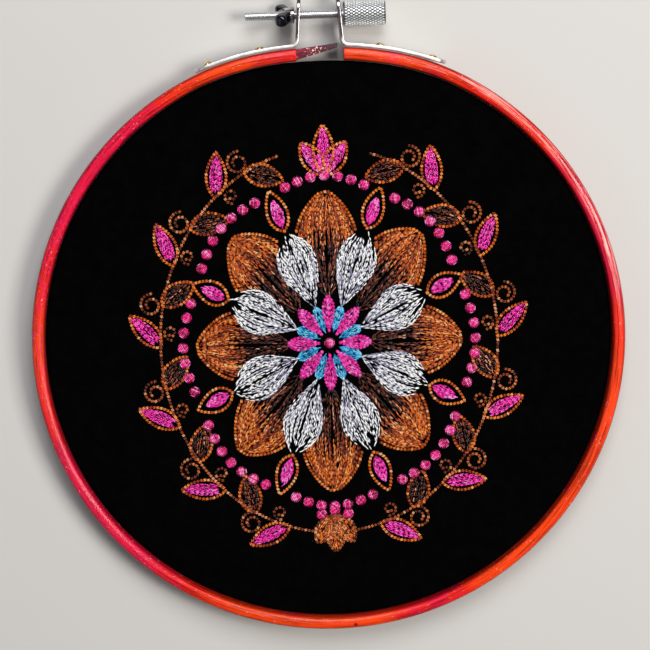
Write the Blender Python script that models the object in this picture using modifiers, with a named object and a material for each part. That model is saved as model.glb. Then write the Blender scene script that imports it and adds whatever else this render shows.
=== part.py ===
"""Embroidery hoop with a black cloth stretched in it, lying on its back with the face up.

The outer ring is a split wooden hoop. A steel bracket is pinned to each of its ends, and a
knurled screw with a wing nut draws the two brackets together. The closed inner ring carries
the cloth, which folds over its front edge and runs down between the two rings.

+X is to the right, +Y towards the clamp and +Z out of the cloth's face. All lengths are in
metres. Every shape is drawn about the rings' centre, and one empty moves them together so
that the origin is at the bottom centre of the whole.
"""

import math

import bmesh
import bpy
from mathutils import Matrix, Vector

# Rings and cloth
RIM_RADIUS = 0.1010
RIM_WALL = 0.0042
RIM_HEIGHT = 0.0095
RIM_ROUNDING = 0.0009
RIM_ROUNDING_STEPS = 3
RIM_CROWN = 0.00085
RIM_FACE_POINTS = 3
INNER_WALL = 0.0040
INNER_HEIGHT = 0.0080
INNER_ROUNDING = 0.0006
INNER_ROUNDING_STEPS = 2
CLOTH_THICKNESS = 0.0010
CLOTH_FOLD = 0.0015
CLOTH_FOLD_STEPS = 4
CLOTH_FACE_RADII = (0.0, 0.045, 0.060, 0.075, 0.090)
CLOTH_HEM = 0.0006
FACE_DEPTH = 0.0030
CLEARANCE = 0.0003
RING_STEPS = 96

# The clamp flattens the rings a little on both sides of the gap
DRAW_IN = 0.0013
DRAW_SPREAD = math.radians(28.0)
DRAW_FROM = 0.060
DRAW_FULL = 0.090

# Gap in the outer ring, and the thin tongue that bridges it
GAP_HALF = 0.0080
TONGUE_REACH = 0.0059
TONGUE_RISE = 0.0018
TONGUE_TIP = 0.0015
TONGUE_ROOT = 0.0008
TONGUE_INSET = 0.0003

# Brackets
STRIP_THICKNESS = 0.0012
STRIP_HEIGHT = 0.0086
STRIP_ANGLE = math.radians(24.2)
STRIP_STEPS = 12
STRIP_END_STEPS = 5
BEND_RADIUS = 0.0022
BEND_STEPS = 6
LUG_LEAN = math.radians(4.5)
LUG_X = 0.00685
LUG_END = 0.1165
TIP_LIFT = {"left": 0.0001, "right": 0.0005}
TIP_LIFT_LENGTH = 0.008
END_BLUNTNESS = math.radians(15.0)

# Pins, as angles from the middle of the gap
PIN_ANGLES = (math.radians(11.5), math.radians(21.6))
PIN_HEAD_RADIUS = 0.0012
PIN_HEAD_HEIGHT = 0.0007
PIN_SHANK_RADIUS = 0.00065
PIN_SHANK_LENGTH = 0.0043
PIN_HOLE_EXTRA = 0.0003
PIN_SIDES = 16
PIN_DOME_STEPS = 4

# Screw and wing nut
ROD_Y = 0.11045
ROD_RADIUS = 0.0015
ROD_START = -0.0247
ROD_CHAMFER = 0.0004
ROD_HOLE_RADIUS = 0.0020
ROD_SIDES = 24
HEAD_START = 0.00815
HEAD_LENGTH = 0.0140
HEAD_RADIUS = 0.0041
HEAD_CHAMFER = 0.0004
HEAD_SIDES = 48
NUT_START = -0.0081
NUT_HUB_LENGTH = 0.0032
NUT_HUB_RADIUS = 0.0028
NUT_HUB_END_RADIUS = 0.0024
NUT_BORE_RADIUS = 0.0018
NUT_TURN = math.radians(70.0)
WING_ROOT = (0.0015, 0.0020, 0.0012)
WING_LOBE = (0.0046, 0.0043, 0.0020)
WING_THICKNESS = 0.0040
WING_ROUNDING = 0.0011
WING_ROUNDING_STEPS = 3
WING_ARC_STEPS = 10

# How far the cutters stand out of what they cut, as a share of its size
CUTTER_EXCESS = 2.0

MERGE = 0.00001

# Worked out from the sizes above
RIM_BORE = RIM_RADIUS - RIM_WALL
CLOTH_RADIUS = RIM_BORE - CLEARANCE
INNER_RADIUS = CLOTH_RADIUS - CLOTH_THICKNESS - CLEARANCE
INNER_BORE = INNER_RADIUS - INNER_WALL
CLOTH_UNDER = INNER_HEIGHT + CLEARANCE
CLOTH_FACE = CLOTH_UNDER + CLOTH_THICKNESS
RIM_TOP = CLOTH_FACE + FACE_DEPTH
RIM_BASE = RIM_TOP - RIM_HEIGHT
ROD_Z = (RIM_TOP + RIM_BASE) / 2
STRIP_RADIUS = RIM_RADIUS + CLEARANCE + STRIP_THICKNESS / 2
LUG_TOP = LUG_END + STRIP_THICKNESS / 2 * math.sin(LUG_LEAN)
CENTRE_Y = (RIM_RADIUS - LUG_TOP) / 2


def clear_scene():
    for old in list(bpy.data.objects):
        bpy.data.objects.remove(old, do_unlink=True)


def new_collection(name):
    collection = bpy.data.collections.new(name)
    bpy.context.scene.collection.children.link(collection)
    return collection


def finish(name, colour, roughness, metallic=0.0):
    material = bpy.data.materials.new(name)
    material.use_nodes = True
    shader = material.node_tree.nodes["Principled BSDF"]
    shader.inputs["Base Color"].default_value = (*colour, 1.0)
    shader.inputs["Roughness"].default_value = roughness
    shader.inputs["Metallic"].default_value = metallic
    return material


def part(obj, material):
    """Put an object among the parts, about the rings' centre, with its material."""
    PARTS.objects.link(obj)
    obj.parent = CENTRE
    obj.data.materials.clear()
    obj.data.materials.append(material)
    return obj


def cutter(obj):
    """Put an object among the shapes that only cut or join."""
    CUTTERS.objects.link(obj)
    obj.parent = CENTRE
    obj.hide_render = True
    obj.display_type = 'WIRE'
    return obj


def boolean(obj, tool, operation):
    modifier = obj.modifiers.new(tool.name, 'BOOLEAN')
    modifier.operation = operation
    modifier.object = tool


def mesh_object(name, build):
    """An object whose mesh is filled in by build, a function of a bmesh."""
    mesh = bpy.data.meshes.new(name)
    shape = bmesh.new()
    build(shape)
    shape.to_mesh(mesh)
    shape.free()
    return bpy.data.objects.new(name, mesh)


def turned(name, profile, steps, closed=False):
    """A profile of (radius, height) points turned about Z, still with its Screw modifier."""
    def build(shape):
        points = [shape.verts.new((radius, 0.0, height)) for radius, height in profile]
        for first, second in zip(points, points[1:]):
            shape.edges.new((first, second))
        if closed:
            shape.edges.new((points[-1], points[0]))

    obj = mesh_object(name, build)
    screw = obj.modifiers.new("turn", 'SCREW')
    screw.axis = 'Z'
    screw.steps = steps
    screw.render_steps = steps
    screw.use_smooth_shade = True
    screw.use_merge_vertices = True
    screw.merge_threshold = MERGE
    return obj


def plate(name, outline, low, high):
    """A flat outline of (x, y) points made solid between two heights, as a closed mesh."""
    curve = bpy.data.curves.new(name, 'CURVE')
    curve.dimensions = '2D'
    curve.fill_mode = 'BOTH'
    curve.extrude = (high - low) / 2
    spline = curve.splines.new('POLY')
    spline.points.add(len(outline) - 1)
    for point, (x, y) in zip(spline.points, outline):
        point.co = (x, y, 0.0, 1.0)
    spline.use_cyclic_u = True
    source = bpy.data.objects.new(name, curve)
    bpy.context.scene.collection.objects.link(source)
    obj = bpy.data.objects.new(name, evaluated_mesh(source))
    bpy.data.objects.remove(source, do_unlink=True)
    for vertex in obj.data.vertices:
        vertex.co.z += (high + low) / 2
    return obj


def evaluated_mesh(obj):
    """The object's mesh with its modifiers applied and its seams welded."""
    bpy.context.view_layer.update()
    graph = bpy.context.evaluated_depsgraph_get()
    mesh = bpy.data.meshes.new_from_object(obj.evaluated_get(graph))
    shape = bmesh.new()
    shape.from_mesh(mesh)
    bmesh.ops.remove_doubles(shape, verts=shape.verts, dist=MERGE)
    shape.to_mesh(mesh)
    shape.free()
    return mesh


def draw_share(angle):
    """How much of the draw-in applies at an angle from the middle of the gap."""
    if abs(angle) >= DRAW_SPREAD:
        return 0.0
    return math.cos(math.pi / 2 * angle / DRAW_SPREAD) ** 2


def ring_point(radius, angle):
    """A point on a ring, at an angle from the middle of the gap, positive to the right."""
    reach = radius - DRAW_IN * draw_share(angle)
    return Vector((reach * math.sin(angle), reach * math.cos(angle)))


def draw_in(obj):
    """Apply the turning for good and flatten the ring where the clamp pulls it."""
    bpy.context.scene.collection.objects.link(obj)
    mesh = evaluated_mesh(obj)
    bpy.context.scene.collection.objects.unlink(obj)
    obj.modifiers.clear()
    for vertex in mesh.vertices:
        radius = math.hypot(vertex.co.x, vertex.co.y)
        if radius <= DRAW_FROM:
            continue
        angle = math.atan2(vertex.co.x, vertex.co.y)
        share = min(1.0, (radius - DRAW_FROM) / (DRAW_FULL - DRAW_FROM))
        factor = 1.0 - DRAW_IN * share * draw_share(angle) / radius
        vertex.co.x *= factor
        vertex.co.y *= factor
    obj.data = mesh
    return obj


def quarter_turns(start, steps):
    """Angles that run clockwise through a quarter turn, both ends included."""
    return [math.radians(start - 90.0 * step / steps) for step in range(steps + 1)]


def rounded_section(inside, outside, low, high, rounding, steps):
    """The four-cornered section of a wooden ring, down its outer side, with rounded edges."""
    corners = (
        (inside + rounding, high - rounding, 180.0),
        (outside - rounding, high - rounding, 90.0),
        (outside - rounding, low + rounding, 0.0),
        (inside + rounding, low + rounding, -90.0),
    )
    points = []
    for radius, height, start in corners:
        for turn in quarter_turns(start, steps):
            points.append((radius + rounding * math.cos(turn), height + rounding * math.sin(turn)))
    return points


def crowned(section):
    """A rim section whose face falls away from its middle towards both edges."""
    middle = (RIM_RADIUS + RIM_BORE) / 2
    flat = RIM_WALL - 2 * RIM_ROUNDING
    shares = [(step + 1) / (RIM_FACE_POINTS + 1) for step in range(RIM_FACE_POINTS)]
    face = [(middle + flat * (share - 0.5), RIM_TOP) for share in shares]
    points = section[:RIM_ROUNDING_STEPS + 1] + face + section[RIM_ROUNDING_STEPS + 1:]
    fall = [RIM_CROWN * (2 * (radius - middle) / RIM_WALL) ** 2 for radius, _ in points]
    return [(r, h - drop if h > ROD_Z else h) for (r, h), drop in zip(points, fall)]


def cylinder(name, radius, length, sides):
    def build(shape):
        bmesh.ops.create_cone(
            shape, cap_ends=True, segments=sides, radius1=radius, radius2=radius, depth=length,
        )

    return mesh_object(name, build)


def point_outwards(obj, angle, radius):
    """Stand an object's Z axis on the rim, pointing away from the centre at an angle."""
    foot = ring_point(radius, angle)
    direction = Vector((math.sin(angle), math.cos(angle), 0.0))
    obj.location = (foot.x, foot.y, ROD_Z)
    obj.rotation_euler = direction.to_track_quat('Z', 'Y').to_euler()


def make_gap_cutter():
    def build(shape):
        bmesh.ops.create_cube(shape, size=1.0)
        size = (2 * GAP_HALF, CUTTER_EXCESS * 2 * RIM_WALL, CUTTER_EXCESS * RIM_HEIGHT)
        bmesh.ops.scale(shape, vec=size, verts=shape.verts)

    obj = cutter(mesh_object("gap_cutter", build))
    obj.location = (0.0, (RIM_RADIUS + RIM_BORE) / 2, ROD_Z)
    return obj


def make_tongue():
    """The thinned end of the wood that runs from the left end of the ring across the gap."""
    root_angle = -math.asin((GAP_HALF + TONGUE_ROOT) / RIM_RADIUS)
    outer_root = ring_point(RIM_RADIUS - TONGUE_INSET, root_angle)
    inner_root = ring_point(RIM_BORE + TONGUE_INSET, root_angle)
    tip = Vector((TONGUE_REACH, outer_root.y + TONGUE_RISE))
    outline = [inner_root, tip - Vector((0.0, TONGUE_TIP)), tip, outer_root]
    return cutter(plate("tongue", outline, RIM_BASE + TONGUE_INSET, CLOTH_FACE))


def make_outer_ring(pin_cutters):
    size = (RIM_BORE, RIM_RADIUS, RIM_BASE, RIM_TOP)
    section = crowned(rounded_section(*size, RIM_ROUNDING, RIM_ROUNDING_STEPS))
    ring = draw_in(turned("hoop_outer", section, RING_STEPS, closed=True))
    boolean(ring, make_gap_cutter(), 'DIFFERENCE')
    boolean(ring, make_tongue(), 'UNION')
    for tool in pin_cutters:
        boolean(ring, tool, 'DIFFERENCE')
    return part(ring, finish("red_stained_wood", (0.75, 0.07, 0.03), 0.35))


def make_inner_ring():
    size = (INNER_BORE, INNER_RADIUS, 0.0, INNER_HEIGHT)
    section = rounded_section(*size, INNER_ROUNDING, INNER_ROUNDING_STEPS)
    ring = draw_in(turned("hoop_inner", section, RING_STEPS, closed=True))
    return part(ring, finish("plain_wood", (0.62, 0.42, 0.22), 0.6))


def make_cloth():
    """The stretched face, its fold over the inner ring, and the skirt between the rings."""
    face = [(radius, CLOTH_FACE) for radius in CLOTH_FACE_RADII]
    under = [(radius, CLOTH_UNDER) for radius in reversed(CLOTH_FACE_RADII)]
    centre = (CLOTH_RADIUS - CLOTH_FOLD, CLOTH_FACE - CLOTH_FOLD)
    turns = quarter_turns(90.0, CLOTH_FOLD_STEPS)
    outer_fold = [fold_point(centre, CLOTH_FOLD, turn) for turn in turns]
    inner_fold = [fold_point(centre, CLOTH_FOLD - CLOTH_THICKNESS, turn) for turn in reversed(turns)]
    hem = [(CLOTH_RADIUS, CLOTH_HEM), (CLOTH_RADIUS - CLOTH_THICKNESS, CLOTH_HEM)]
    profile = face + outer_fold + hem + inner_fold + under
    cloth = draw_in(turned("cloth", profile, RING_STEPS))
    return part(cloth, finish("black_cloth", (0.004, 0.004, 0.005), 0.9))


def fold_point(centre, radius, turn):
    return (centre[0] + radius * math.cos(turn), centre[1] + radius * math.sin(turn))


def bracket_run(lift):
    """Where a right-hand bracket's centre line is, as a function of the way from its tip.

    It follows the rim, bends outwards beside the gap and ends in a straight, leaning lug.
    Returns the function and the line's whole length.
    """
    lug_way = Vector((-math.sin(LUG_LEAN), math.cos(LUG_LEAN)))
    lug_side = Vector((lug_way.y, -lug_way.x))
    foot_y = STRIP_RADIUS - DRAW_IN + BEND_RADIUS
    foot_x = LUG_X + (ROD_Y - foot_y) * math.tan(LUG_LEAN)
    bend_angle = math.asin((foot_x + BEND_RADIUS * lug_side.x) / foot_y)
    bend_start = ring_point(STRIP_RADIUS, bend_angle)
    outwards = Vector((math.sin(bend_angle), math.cos(bend_angle)))
    bend_centre = bend_start + outwards * BEND_RADIUS
    turn = math.pi / 2 - bend_angle - LUG_LEAN
    lug_start = bend_centre - lug_side * BEND_RADIUS
    strip_length = STRIP_RADIUS * (STRIP_ANGLE - bend_angle)
    bend_length = BEND_RADIUS * turn
    lug_length = (LUG_END - lug_start.y) / lug_way.y

    def point(way):
        if way < strip_length:
            raised = lift * max(0.0, 1.0 - way / TIP_LIFT_LENGTH) ** 2
            return ring_point(STRIP_RADIUS + raised, STRIP_ANGLE - way / STRIP_RADIUS)
        if way < strip_length + bend_length:
            bent = (way - strip_length) / BEND_RADIUS
            spoke = -outwards * BEND_RADIUS
            cos, sin = math.cos(-bent), math.sin(-bent)
            return bend_centre + Vector((spoke.x * cos - spoke.y * sin, spoke.x * sin + spoke.y * cos))
        return lug_start + lug_way * (way - strip_length - bend_length)

    return point, (strip_length, bend_length, lug_length)


def bracket_stations(lengths):
    """Ways along a bracket where its outline needs points: its round ends, arc and bend."""
    strip_length, bend_length, lug_length = lengths
    total = strip_length + bend_length + lug_length
    radius = STRIP_HEIGHT / 2
    round_end = math.pi / 2 - END_BLUNTNESS
    turns = [END_BLUNTNESS + round_end * step / STRIP_END_STEPS for step in range(STRIP_END_STEPS + 1)]
    ends = [radius * (math.cos(END_BLUNTNESS) - math.cos(turn)) for turn in turns]
    arc_start = ends[-1]
    arc = [arc_start + (strip_length - arc_start) * step / STRIP_STEPS for step in range(1, STRIP_STEPS)]
    bend = [strip_length + bend_length * step / BEND_STEPS for step in range(BEND_STEPS + 1)]
    return ends + arc + bend + [total - way for way in reversed(ends)]


def half_height(way, total):
    """Half the strip's height, less at its two round ends."""
    radius = STRIP_HEIGHT / 2
    from_end = min(way, total - way) + radius * (1.0 - math.cos(END_BLUNTNESS))
    if from_end >= radius:
        return radius
    return math.sqrt(radius ** 2 - (radius - from_end) ** 2)


def make_bracket(side, sign, tools, steel):
    """A steel strip pinned along the rim, its end bent out as a lug for the screw."""
    point, lengths = bracket_run(TIP_LIFT[side])
    total = sum(lengths)

    def build(shape):
        columns = []
        for way in bracket_stations(lengths):
            spot = point(way)
            half = half_height(way, total)
            columns.append([shape.verts.new((sign * spot.x, spot.y, ROD_Z + dz)) for dz in (-half, half)])
        for (low, high), (next_low, next_high) in zip(columns, columns[1:]):
            shape.faces.new((low, next_low, next_high, high))

    bracket = mesh_object("bracket_" + side, build)
    wall = bracket.modifiers.new("wall", 'SOLIDIFY')
    wall.thickness = STRIP_THICKNESS
    wall.offset = 0.0
    for tool in tools:
        boolean(bracket, tool, 'DIFFERENCE')
    return part(bracket, steel)


def make_pin_hole(name, angle):
    """A cutter for the hole that a pin needs through the strip and into the wood."""
    depth = PIN_SHANK_LENGTH + PIN_HOLE_EXTRA
    above = CUTTER_EXCESS * STRIP_THICKNESS
    hole = cylinder(name, PIN_SHANK_RADIUS + PIN_HOLE_EXTRA, depth + above, PIN_SIDES)
    for vertex in hole.data.vertices:
        vertex.co.z += (above - depth) / 2
    point_outwards(hole, angle, RIM_RADIUS + CLEARANCE + STRIP_THICKNESS)
    return cutter(hole)


def make_pin(name, angle, brass):
    """A round-headed brass pin, driven through the strip into the rim."""
    dome = quarter_turns(90.0, PIN_DOME_STEPS)
    head = [(PIN_HEAD_RADIUS * math.cos(turn), CLEARANCE + PIN_HEAD_HEIGHT * math.sin(turn)) for turn in dome]
    head[0] = (0.0, CLEARANCE + PIN_HEAD_HEIGHT)
    point = -PIN_SHANK_LENGTH
    shank = [(PIN_SHANK_RADIUS, CLEARANCE), (PIN_SHANK_RADIUS, point + PIN_SHANK_RADIUS), (0.0, point)]
    pin = turned(name, head + shank, PIN_SIDES)
    point_outwards(pin, angle, RIM_RADIUS + CLEARANCE + STRIP_THICKNESS)
    return part(pin, brass)


def make_rod_hole():
    """A cutter for the holes that the screw needs through both lugs."""
    hole = cylinder("rod_hole", ROD_HOLE_RADIUS, CUTTER_EXCESS * 2 * LUG_X, ROD_SIDES)
    hole.location = (0.0, ROD_Y, ROD_Z)
    hole.rotation_euler = (0.0, math.pi / 2, 0.0)
    return cutter(hole)


def make_screw(steel):
    """The clamp screw: a threaded rod with a knurled round head, turning about its length."""
    head_end = HEAD_START + HEAD_LENGTH
    profile = [
        (0.0, head_end),
        (HEAD_RADIUS - HEAD_CHAMFER, head_end),
        (HEAD_RADIUS, head_end - HEAD_CHAMFER),
        (HEAD_RADIUS, HEAD_START + HEAD_CHAMFER),
        (HEAD_RADIUS - HEAD_CHAMFER, HEAD_START),
        (ROD_RADIUS, HEAD_START),
        (ROD_RADIUS, ROD_START + ROD_CHAMFER),
        (ROD_RADIUS - ROD_CHAMFER, ROD_START),
        (0.0, ROD_START),
    ]
    screw = turned("clamp_screw", profile, HEAD_SIDES)
    screw.location = (0.0, ROD_Y, ROD_Z)
    screw.rotation_euler = (0.0, math.pi / 2, 0.0)
    return part(screw, steel)


def teardrop(small, large):
    """The outline round two circles, each given as (x, y, radius), with straight flanks."""
    (small_x, small_y, small_radius), (large_x, large_y, large_radius) = small, large
    heading = math.atan2(large_y - small_y, large_x - small_x)
    spread = math.acos((small_radius - large_radius) / math.hypot(large_x - small_x, large_y - small_y))
    points = []
    for x, y, radius, start, sweep in (
        (large_x, large_y, large_radius, heading - spread, 2 * spread),
        (small_x, small_y, small_radius, heading + spread, 2 * math.pi - 2 * spread),
    ):
        for step in range(WING_ARC_STEPS + 1):
            angle = start + sweep * step / WING_ARC_STEPS
            points.append((x + radius * math.cos(angle), y + radius * math.sin(angle)))
    return points


def make_wing(name, sign):
    """One wing of the nut, in the nut's own frame: its Z along the screw, its wings along X."""
    wing = plate(name, teardrop(WING_ROOT, WING_LOBE), -WING_THICKNESS / 2, WING_THICKNESS / 2)
    for vertex in wing.data.vertices:
        along, out, across = vertex.co
        vertex.co = (sign * out, -sign * across, along)
    edges = wing.modifiers.new("rounding", 'BEVEL')
    edges.width = WING_ROUNDING
    edges.segments = WING_ROUNDING_STEPS
    return cutter(wing)


def make_wing_nut(steel):
    """A small wing nut whose flat end bears on the left-hand lug."""
    def build(shape):
        bmesh.ops.create_cone(
            shape, cap_ends=True, segments=ROD_SIDES, depth=NUT_HUB_LENGTH,
            radius1=NUT_HUB_RADIUS, radius2=NUT_HUB_END_RADIUS,
        )
        bmesh.ops.translate(shape, vec=(0.0, 0.0, NUT_HUB_LENGTH / 2), verts=shape.verts)

    nut = mesh_object("wing_nut", build)
    bore = cutter(cylinder("nut_bore", NUT_BORE_RADIUS, CUTTER_EXCESS * 2 * NUT_HUB_LENGTH, ROD_SIDES))
    wings = [make_wing("wing_near", 1.0), make_wing("wing_far", -1.0)]
    tools = [(wing, 'UNION') for wing in wings] + [(bore, 'DIFFERENCE')]
    turn = Matrix.Rotation(math.pi / 2 - NUT_TURN, 3, 'X') @ Matrix.Rotation(-math.pi / 2, 3, 'Y')
    for obj in [nut] + [tool for tool, _ in tools]:
        obj.location = (NUT_START, ROD_Y, ROD_Z)
        obj.rotation_euler = turn.to_euler()
    for tool, operation in tools:
        boolean(nut, tool, operation)
    return part(nut, steel)


clear_scene()
PARTS = new_collection("embroidery_hoop")
CUTTERS = new_collection("cutters")
CENTRE = bpy.data.objects.new("hoop_centre", None)
PARTS.objects.link(CENTRE)
CENTRE.location = (0.0, CENTRE_Y, 0.0)

STEEL = finish("nickel_plated_steel", (0.72, 0.71, 0.69), 0.25, 1.0)
BRASS = finish("brass", (0.80, 0.58, 0.25), 0.3, 1.0)

rod_hole = make_rod_hole()
pin_holes = {}
for hand, direction in (("left", -1.0), ("right", 1.0)):
    for number, pin_angle in enumerate(PIN_ANGLES, start=1):
        label = f"{hand}_{number}"
        pin_holes[label] = make_pin_hole("pin_hole_" + label, direction * pin_angle)
        make_pin("pin_" + label, direction * pin_angle, BRASS)
    own_holes = [tool for label, tool in pin_holes.items() if label.startswith(hand)]
    make_bracket(hand, direction, own_holes + [rod_hole], STEEL)

make_outer_ring(pin_holes.values())
make_inner_ring()
make_cloth()
make_screw(STEEL)
make_wing_nut(STEEL)
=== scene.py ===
"""The looks of a framed embroidery sampler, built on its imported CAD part.

The hoop lies on its back with its screw towards +Y. Lengths are in metres, but the places and sizes of the
embroidery are in millimetres until its guide lines are made.
"""

import math
import random

import bmesh
import bpy
import numpy as np
from mathutils import Matrix, Vector


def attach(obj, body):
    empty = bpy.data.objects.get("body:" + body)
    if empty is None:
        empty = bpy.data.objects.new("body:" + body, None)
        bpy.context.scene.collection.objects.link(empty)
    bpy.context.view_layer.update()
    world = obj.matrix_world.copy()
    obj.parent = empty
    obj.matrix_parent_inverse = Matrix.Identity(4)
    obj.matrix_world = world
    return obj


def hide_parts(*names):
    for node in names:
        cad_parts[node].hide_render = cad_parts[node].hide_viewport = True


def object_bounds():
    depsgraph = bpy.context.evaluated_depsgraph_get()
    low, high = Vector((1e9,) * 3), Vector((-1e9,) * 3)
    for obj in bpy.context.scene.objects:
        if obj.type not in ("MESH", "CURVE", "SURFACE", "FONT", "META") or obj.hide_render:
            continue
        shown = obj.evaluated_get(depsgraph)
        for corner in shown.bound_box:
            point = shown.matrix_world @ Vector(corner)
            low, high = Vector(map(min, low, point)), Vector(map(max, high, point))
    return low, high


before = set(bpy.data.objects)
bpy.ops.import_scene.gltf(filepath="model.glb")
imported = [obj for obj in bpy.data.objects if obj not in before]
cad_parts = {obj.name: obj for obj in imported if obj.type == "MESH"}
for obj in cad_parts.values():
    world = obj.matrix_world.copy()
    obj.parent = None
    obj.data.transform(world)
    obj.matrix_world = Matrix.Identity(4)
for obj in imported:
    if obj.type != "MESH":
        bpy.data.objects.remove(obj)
cad_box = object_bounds()

# Outer ring: a beech hoop, steamed round, sawn through at the top and turned with a slightly crowned face.
# It was stained by hand in orange, red and crimson, which pooled along its inner edge, and then varnished.
# A thinned end of the wood runs on across the gap from the left-hand end.
RIM_RADIUS = 0.1010
RIM_WALL = 0.0042
RIM_TOP = 0.0123
RIM_BASE = 0.0028
RIM_ROUNDING = 0.0008
RIM_CROWN = 0.00085
RIM_STEPS = 540
FACE_STEPS = 9
RIM_BORE = RIM_RADIUS - RIM_WALL
CENTRE_Y = cad_box[0].y + RIM_RADIUS
GAP_HALF = 0.0080
GAP_EASING = 0.00025
DRAW_IN = 0.0013
DRAW_SPREAD = math.radians(28.0)
DRAW_FROM_RADIUS = 0.060
DRAW_FADE = 0.030
CLOTH_FACE = 0.0093


def linear(colour):
    """An sRGB hex colour as linear red, green, blue and alpha."""
    parts = [int(colour[i:i + 2], 16) / 255 for i in (1, 3, 5)]
    return tuple(p / 12.92 if p <= 0.04045 else ((p + 0.055) / 1.055) ** 2.4 for p in parts) + (1.0,)


def wire(tree, node, inputs):
    """Set a node's inputs, by name or number, to values or to other nodes' outputs."""
    for socket, value in inputs.items():
        if isinstance(value, bpy.types.NodeSocket):
            tree.links.new(value, node.inputs[socket])
        else:
            node.inputs[socket].default_value = value


def add_node(tree, kind, settings=None, inputs=None):
    """Add one node with its settings and inputs. Stops are a ramp's (place, hex colour or grey) pairs."""
    made = tree.nodes.new(kind)
    for name, value in (settings or {}).items():
        if name != "stops":
            setattr(made, name, value)
            continue
        ramp = made.color_ramp
        ramp.elements.remove(ramp.elements[1])
        for number, (place, colour) in enumerate(value):
            element = ramp.elements.new(place) if number else ramp.elements[0]
            element.position = place
            element.color = linear(colour) if isinstance(colour, str) else (colour, colour, colour, 1.0)
    wire(tree, made, inputs or {})
    return made


def new_material(name):
    """A node material, its tree and its shader."""
    made = bpy.data.materials.new(name)
    made.use_nodes = True
    return made, made.node_tree, made.node_tree.nodes["Principled BSDF"]


def in_scene(name, data):
    """A new object in the scene with this mesh, camera or light."""
    made = bpy.data.objects.new(name, data)
    bpy.context.scene.collection.objects.link(made)
    return made


def mesh_piece(name, points, faces, material, values=None):
    """A smooth mesh whose faces point outwards, with any float values that its points carry."""
    mesh = bpy.data.meshes.new(name)
    mesh.from_pydata([tuple(point) for point in points], [], faces)
    for label, numbers in (values or {}).items():
        carried = mesh.attributes.new(label, 'FLOAT', 'POINT')
        carried.data.foreach_set("value", np.asarray(numbers, np.float32))
    shape = bmesh.new()
    shape.from_mesh(mesh)
    bmesh.ops.recalc_face_normals(shape, faces=shape.faces)
    shape.to_mesh(mesh)
    shape.free()
    mesh.shade_smooth()
    mesh.materials.append(material)
    return in_scene(name, mesh)


def drawn_in(radius, angle):
    """A ring's x and y at an angle from the gap, positive to the right, flattened where the clamp pulls."""
    away = np.abs((angle + math.pi) % (2 * math.pi) - math.pi)
    share = np.where(away < DRAW_SPREAD, np.cos(math.pi / 2 * away / DRAW_SPREAD) ** 2, 0.0)
    reach = radius - DRAW_IN * share * np.clip((radius - DRAW_FROM_RADIUS) / DRAW_FADE, 0.0, 1.0)
    return reach * np.sin(angle), CENTRE_Y + reach * np.cos(angle)


def rounded_section(inside, outside, low, high, rounding, crown, steps):
    """The section of a wooden ring as (radius, height) points, with round edges and a crowned face."""
    corners = ((outside, high, 90.0), (outside, low, 0.0), (inside, low, -90.0), (inside, high, 180.0))
    points = []
    for radius, height, start in corners:
        centre_radius = radius + rounding * (1 if radius == inside else -1)
        centre_height = height + rounding * (1 if height == low else -1)
        for step in range(steps + 1):
            turn = math.radians(start - 90.0 * step / steps)
            points.append([centre_radius + rounding * math.cos(turn),
                           centre_height + rounding * math.sin(turn)])
    face = np.linspace(inside + rounding, outside - rounding, FACE_STEPS)[1:-1]
    points += [[radius, high] for radius in face]
    middle, half = (inside + outside) / 2, (outside - inside) / 2
    for point in points:
        if point[1] > (low + high) / 2:
            point[1] -= crown * ((point[0] - middle) / half) ** 2
    return np.array(points)


def tube_faces(rows, columns, ends="open"):
    """The faces between a tube's rows of points. Its two ends are open, capped, or joined to each other."""
    faces = []
    for row in range(rows if ends == "joined" else rows - 1):
        first, second = row * columns, (row + 1) % rows * columns
        for column in range(columns):
            right = (column + 1) % columns
            faces.append((first + column, first + right, second + right, second + column))
    if ends == "capped":
        faces += [tuple(range(columns)), tuple((rows - 1) * columns + c for c in range(columns))]
    return faces


def eased_end(easing):
    """How far in from an end its rounding sections lie, and how much smaller than the whole each one is."""
    turns = np.linspace(0.0, math.pi / 2, 5)
    return [(easing * (1 - math.cos(t)), easing * (1 - math.sin(t))) for t in turns]


def swept_ring(name, section, steps, material, gap_half=0.0):
    """Sweep a section round the hoop, whole or between the two sawn and eased sides of a gap."""
    radius, height = section[:, 0], section[:, 1]
    centre = (section.max(0) + section.min(0)) / 2
    half = (section.max(0) - section.min(0)) / 2
    if gap_half:
        sweep = 2 * math.pi * RIM_RADIUS
        eased = [(way / sweep, less) for way, less in eased_end(GAP_EASING)]
        stations = eased + [(s, 0.0) for s in np.linspace(0.0, 1.0, steps)[1:-1]]
        stations += [(1.0 - share, less) for share, less in reversed(eased)]
    else:
        stations = [(share, 0.0) for share in np.arange(steps) / steps]
    points, along = [], []
    for share, less in stations:
        radii = centre[0] + (radius - centre[0]) * (half[0] - less) / half[0]
        heights = centre[1] + (height - centre[1]) * (half[1] - less) / half[1]
        start = np.arcsin(gap_half / radii)
        angle = start + share * (2 * math.pi - 2 * start)
        x, y = drawn_in(radii, angle)
        points.append(np.stack([x, y, heights], -1))
        along.append(angle * RIM_RADIUS)
    faces = tube_faces(len(stations), len(section), "capped" if gap_half else "joined")
    inward = np.tile((section[:, 0].max() - radius) / (2 * half[0]), len(stations))
    return mesh_piece(name, np.concatenate(points), faces, material,
                      {"along": np.concatenate(along), "inward": inward})


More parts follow.
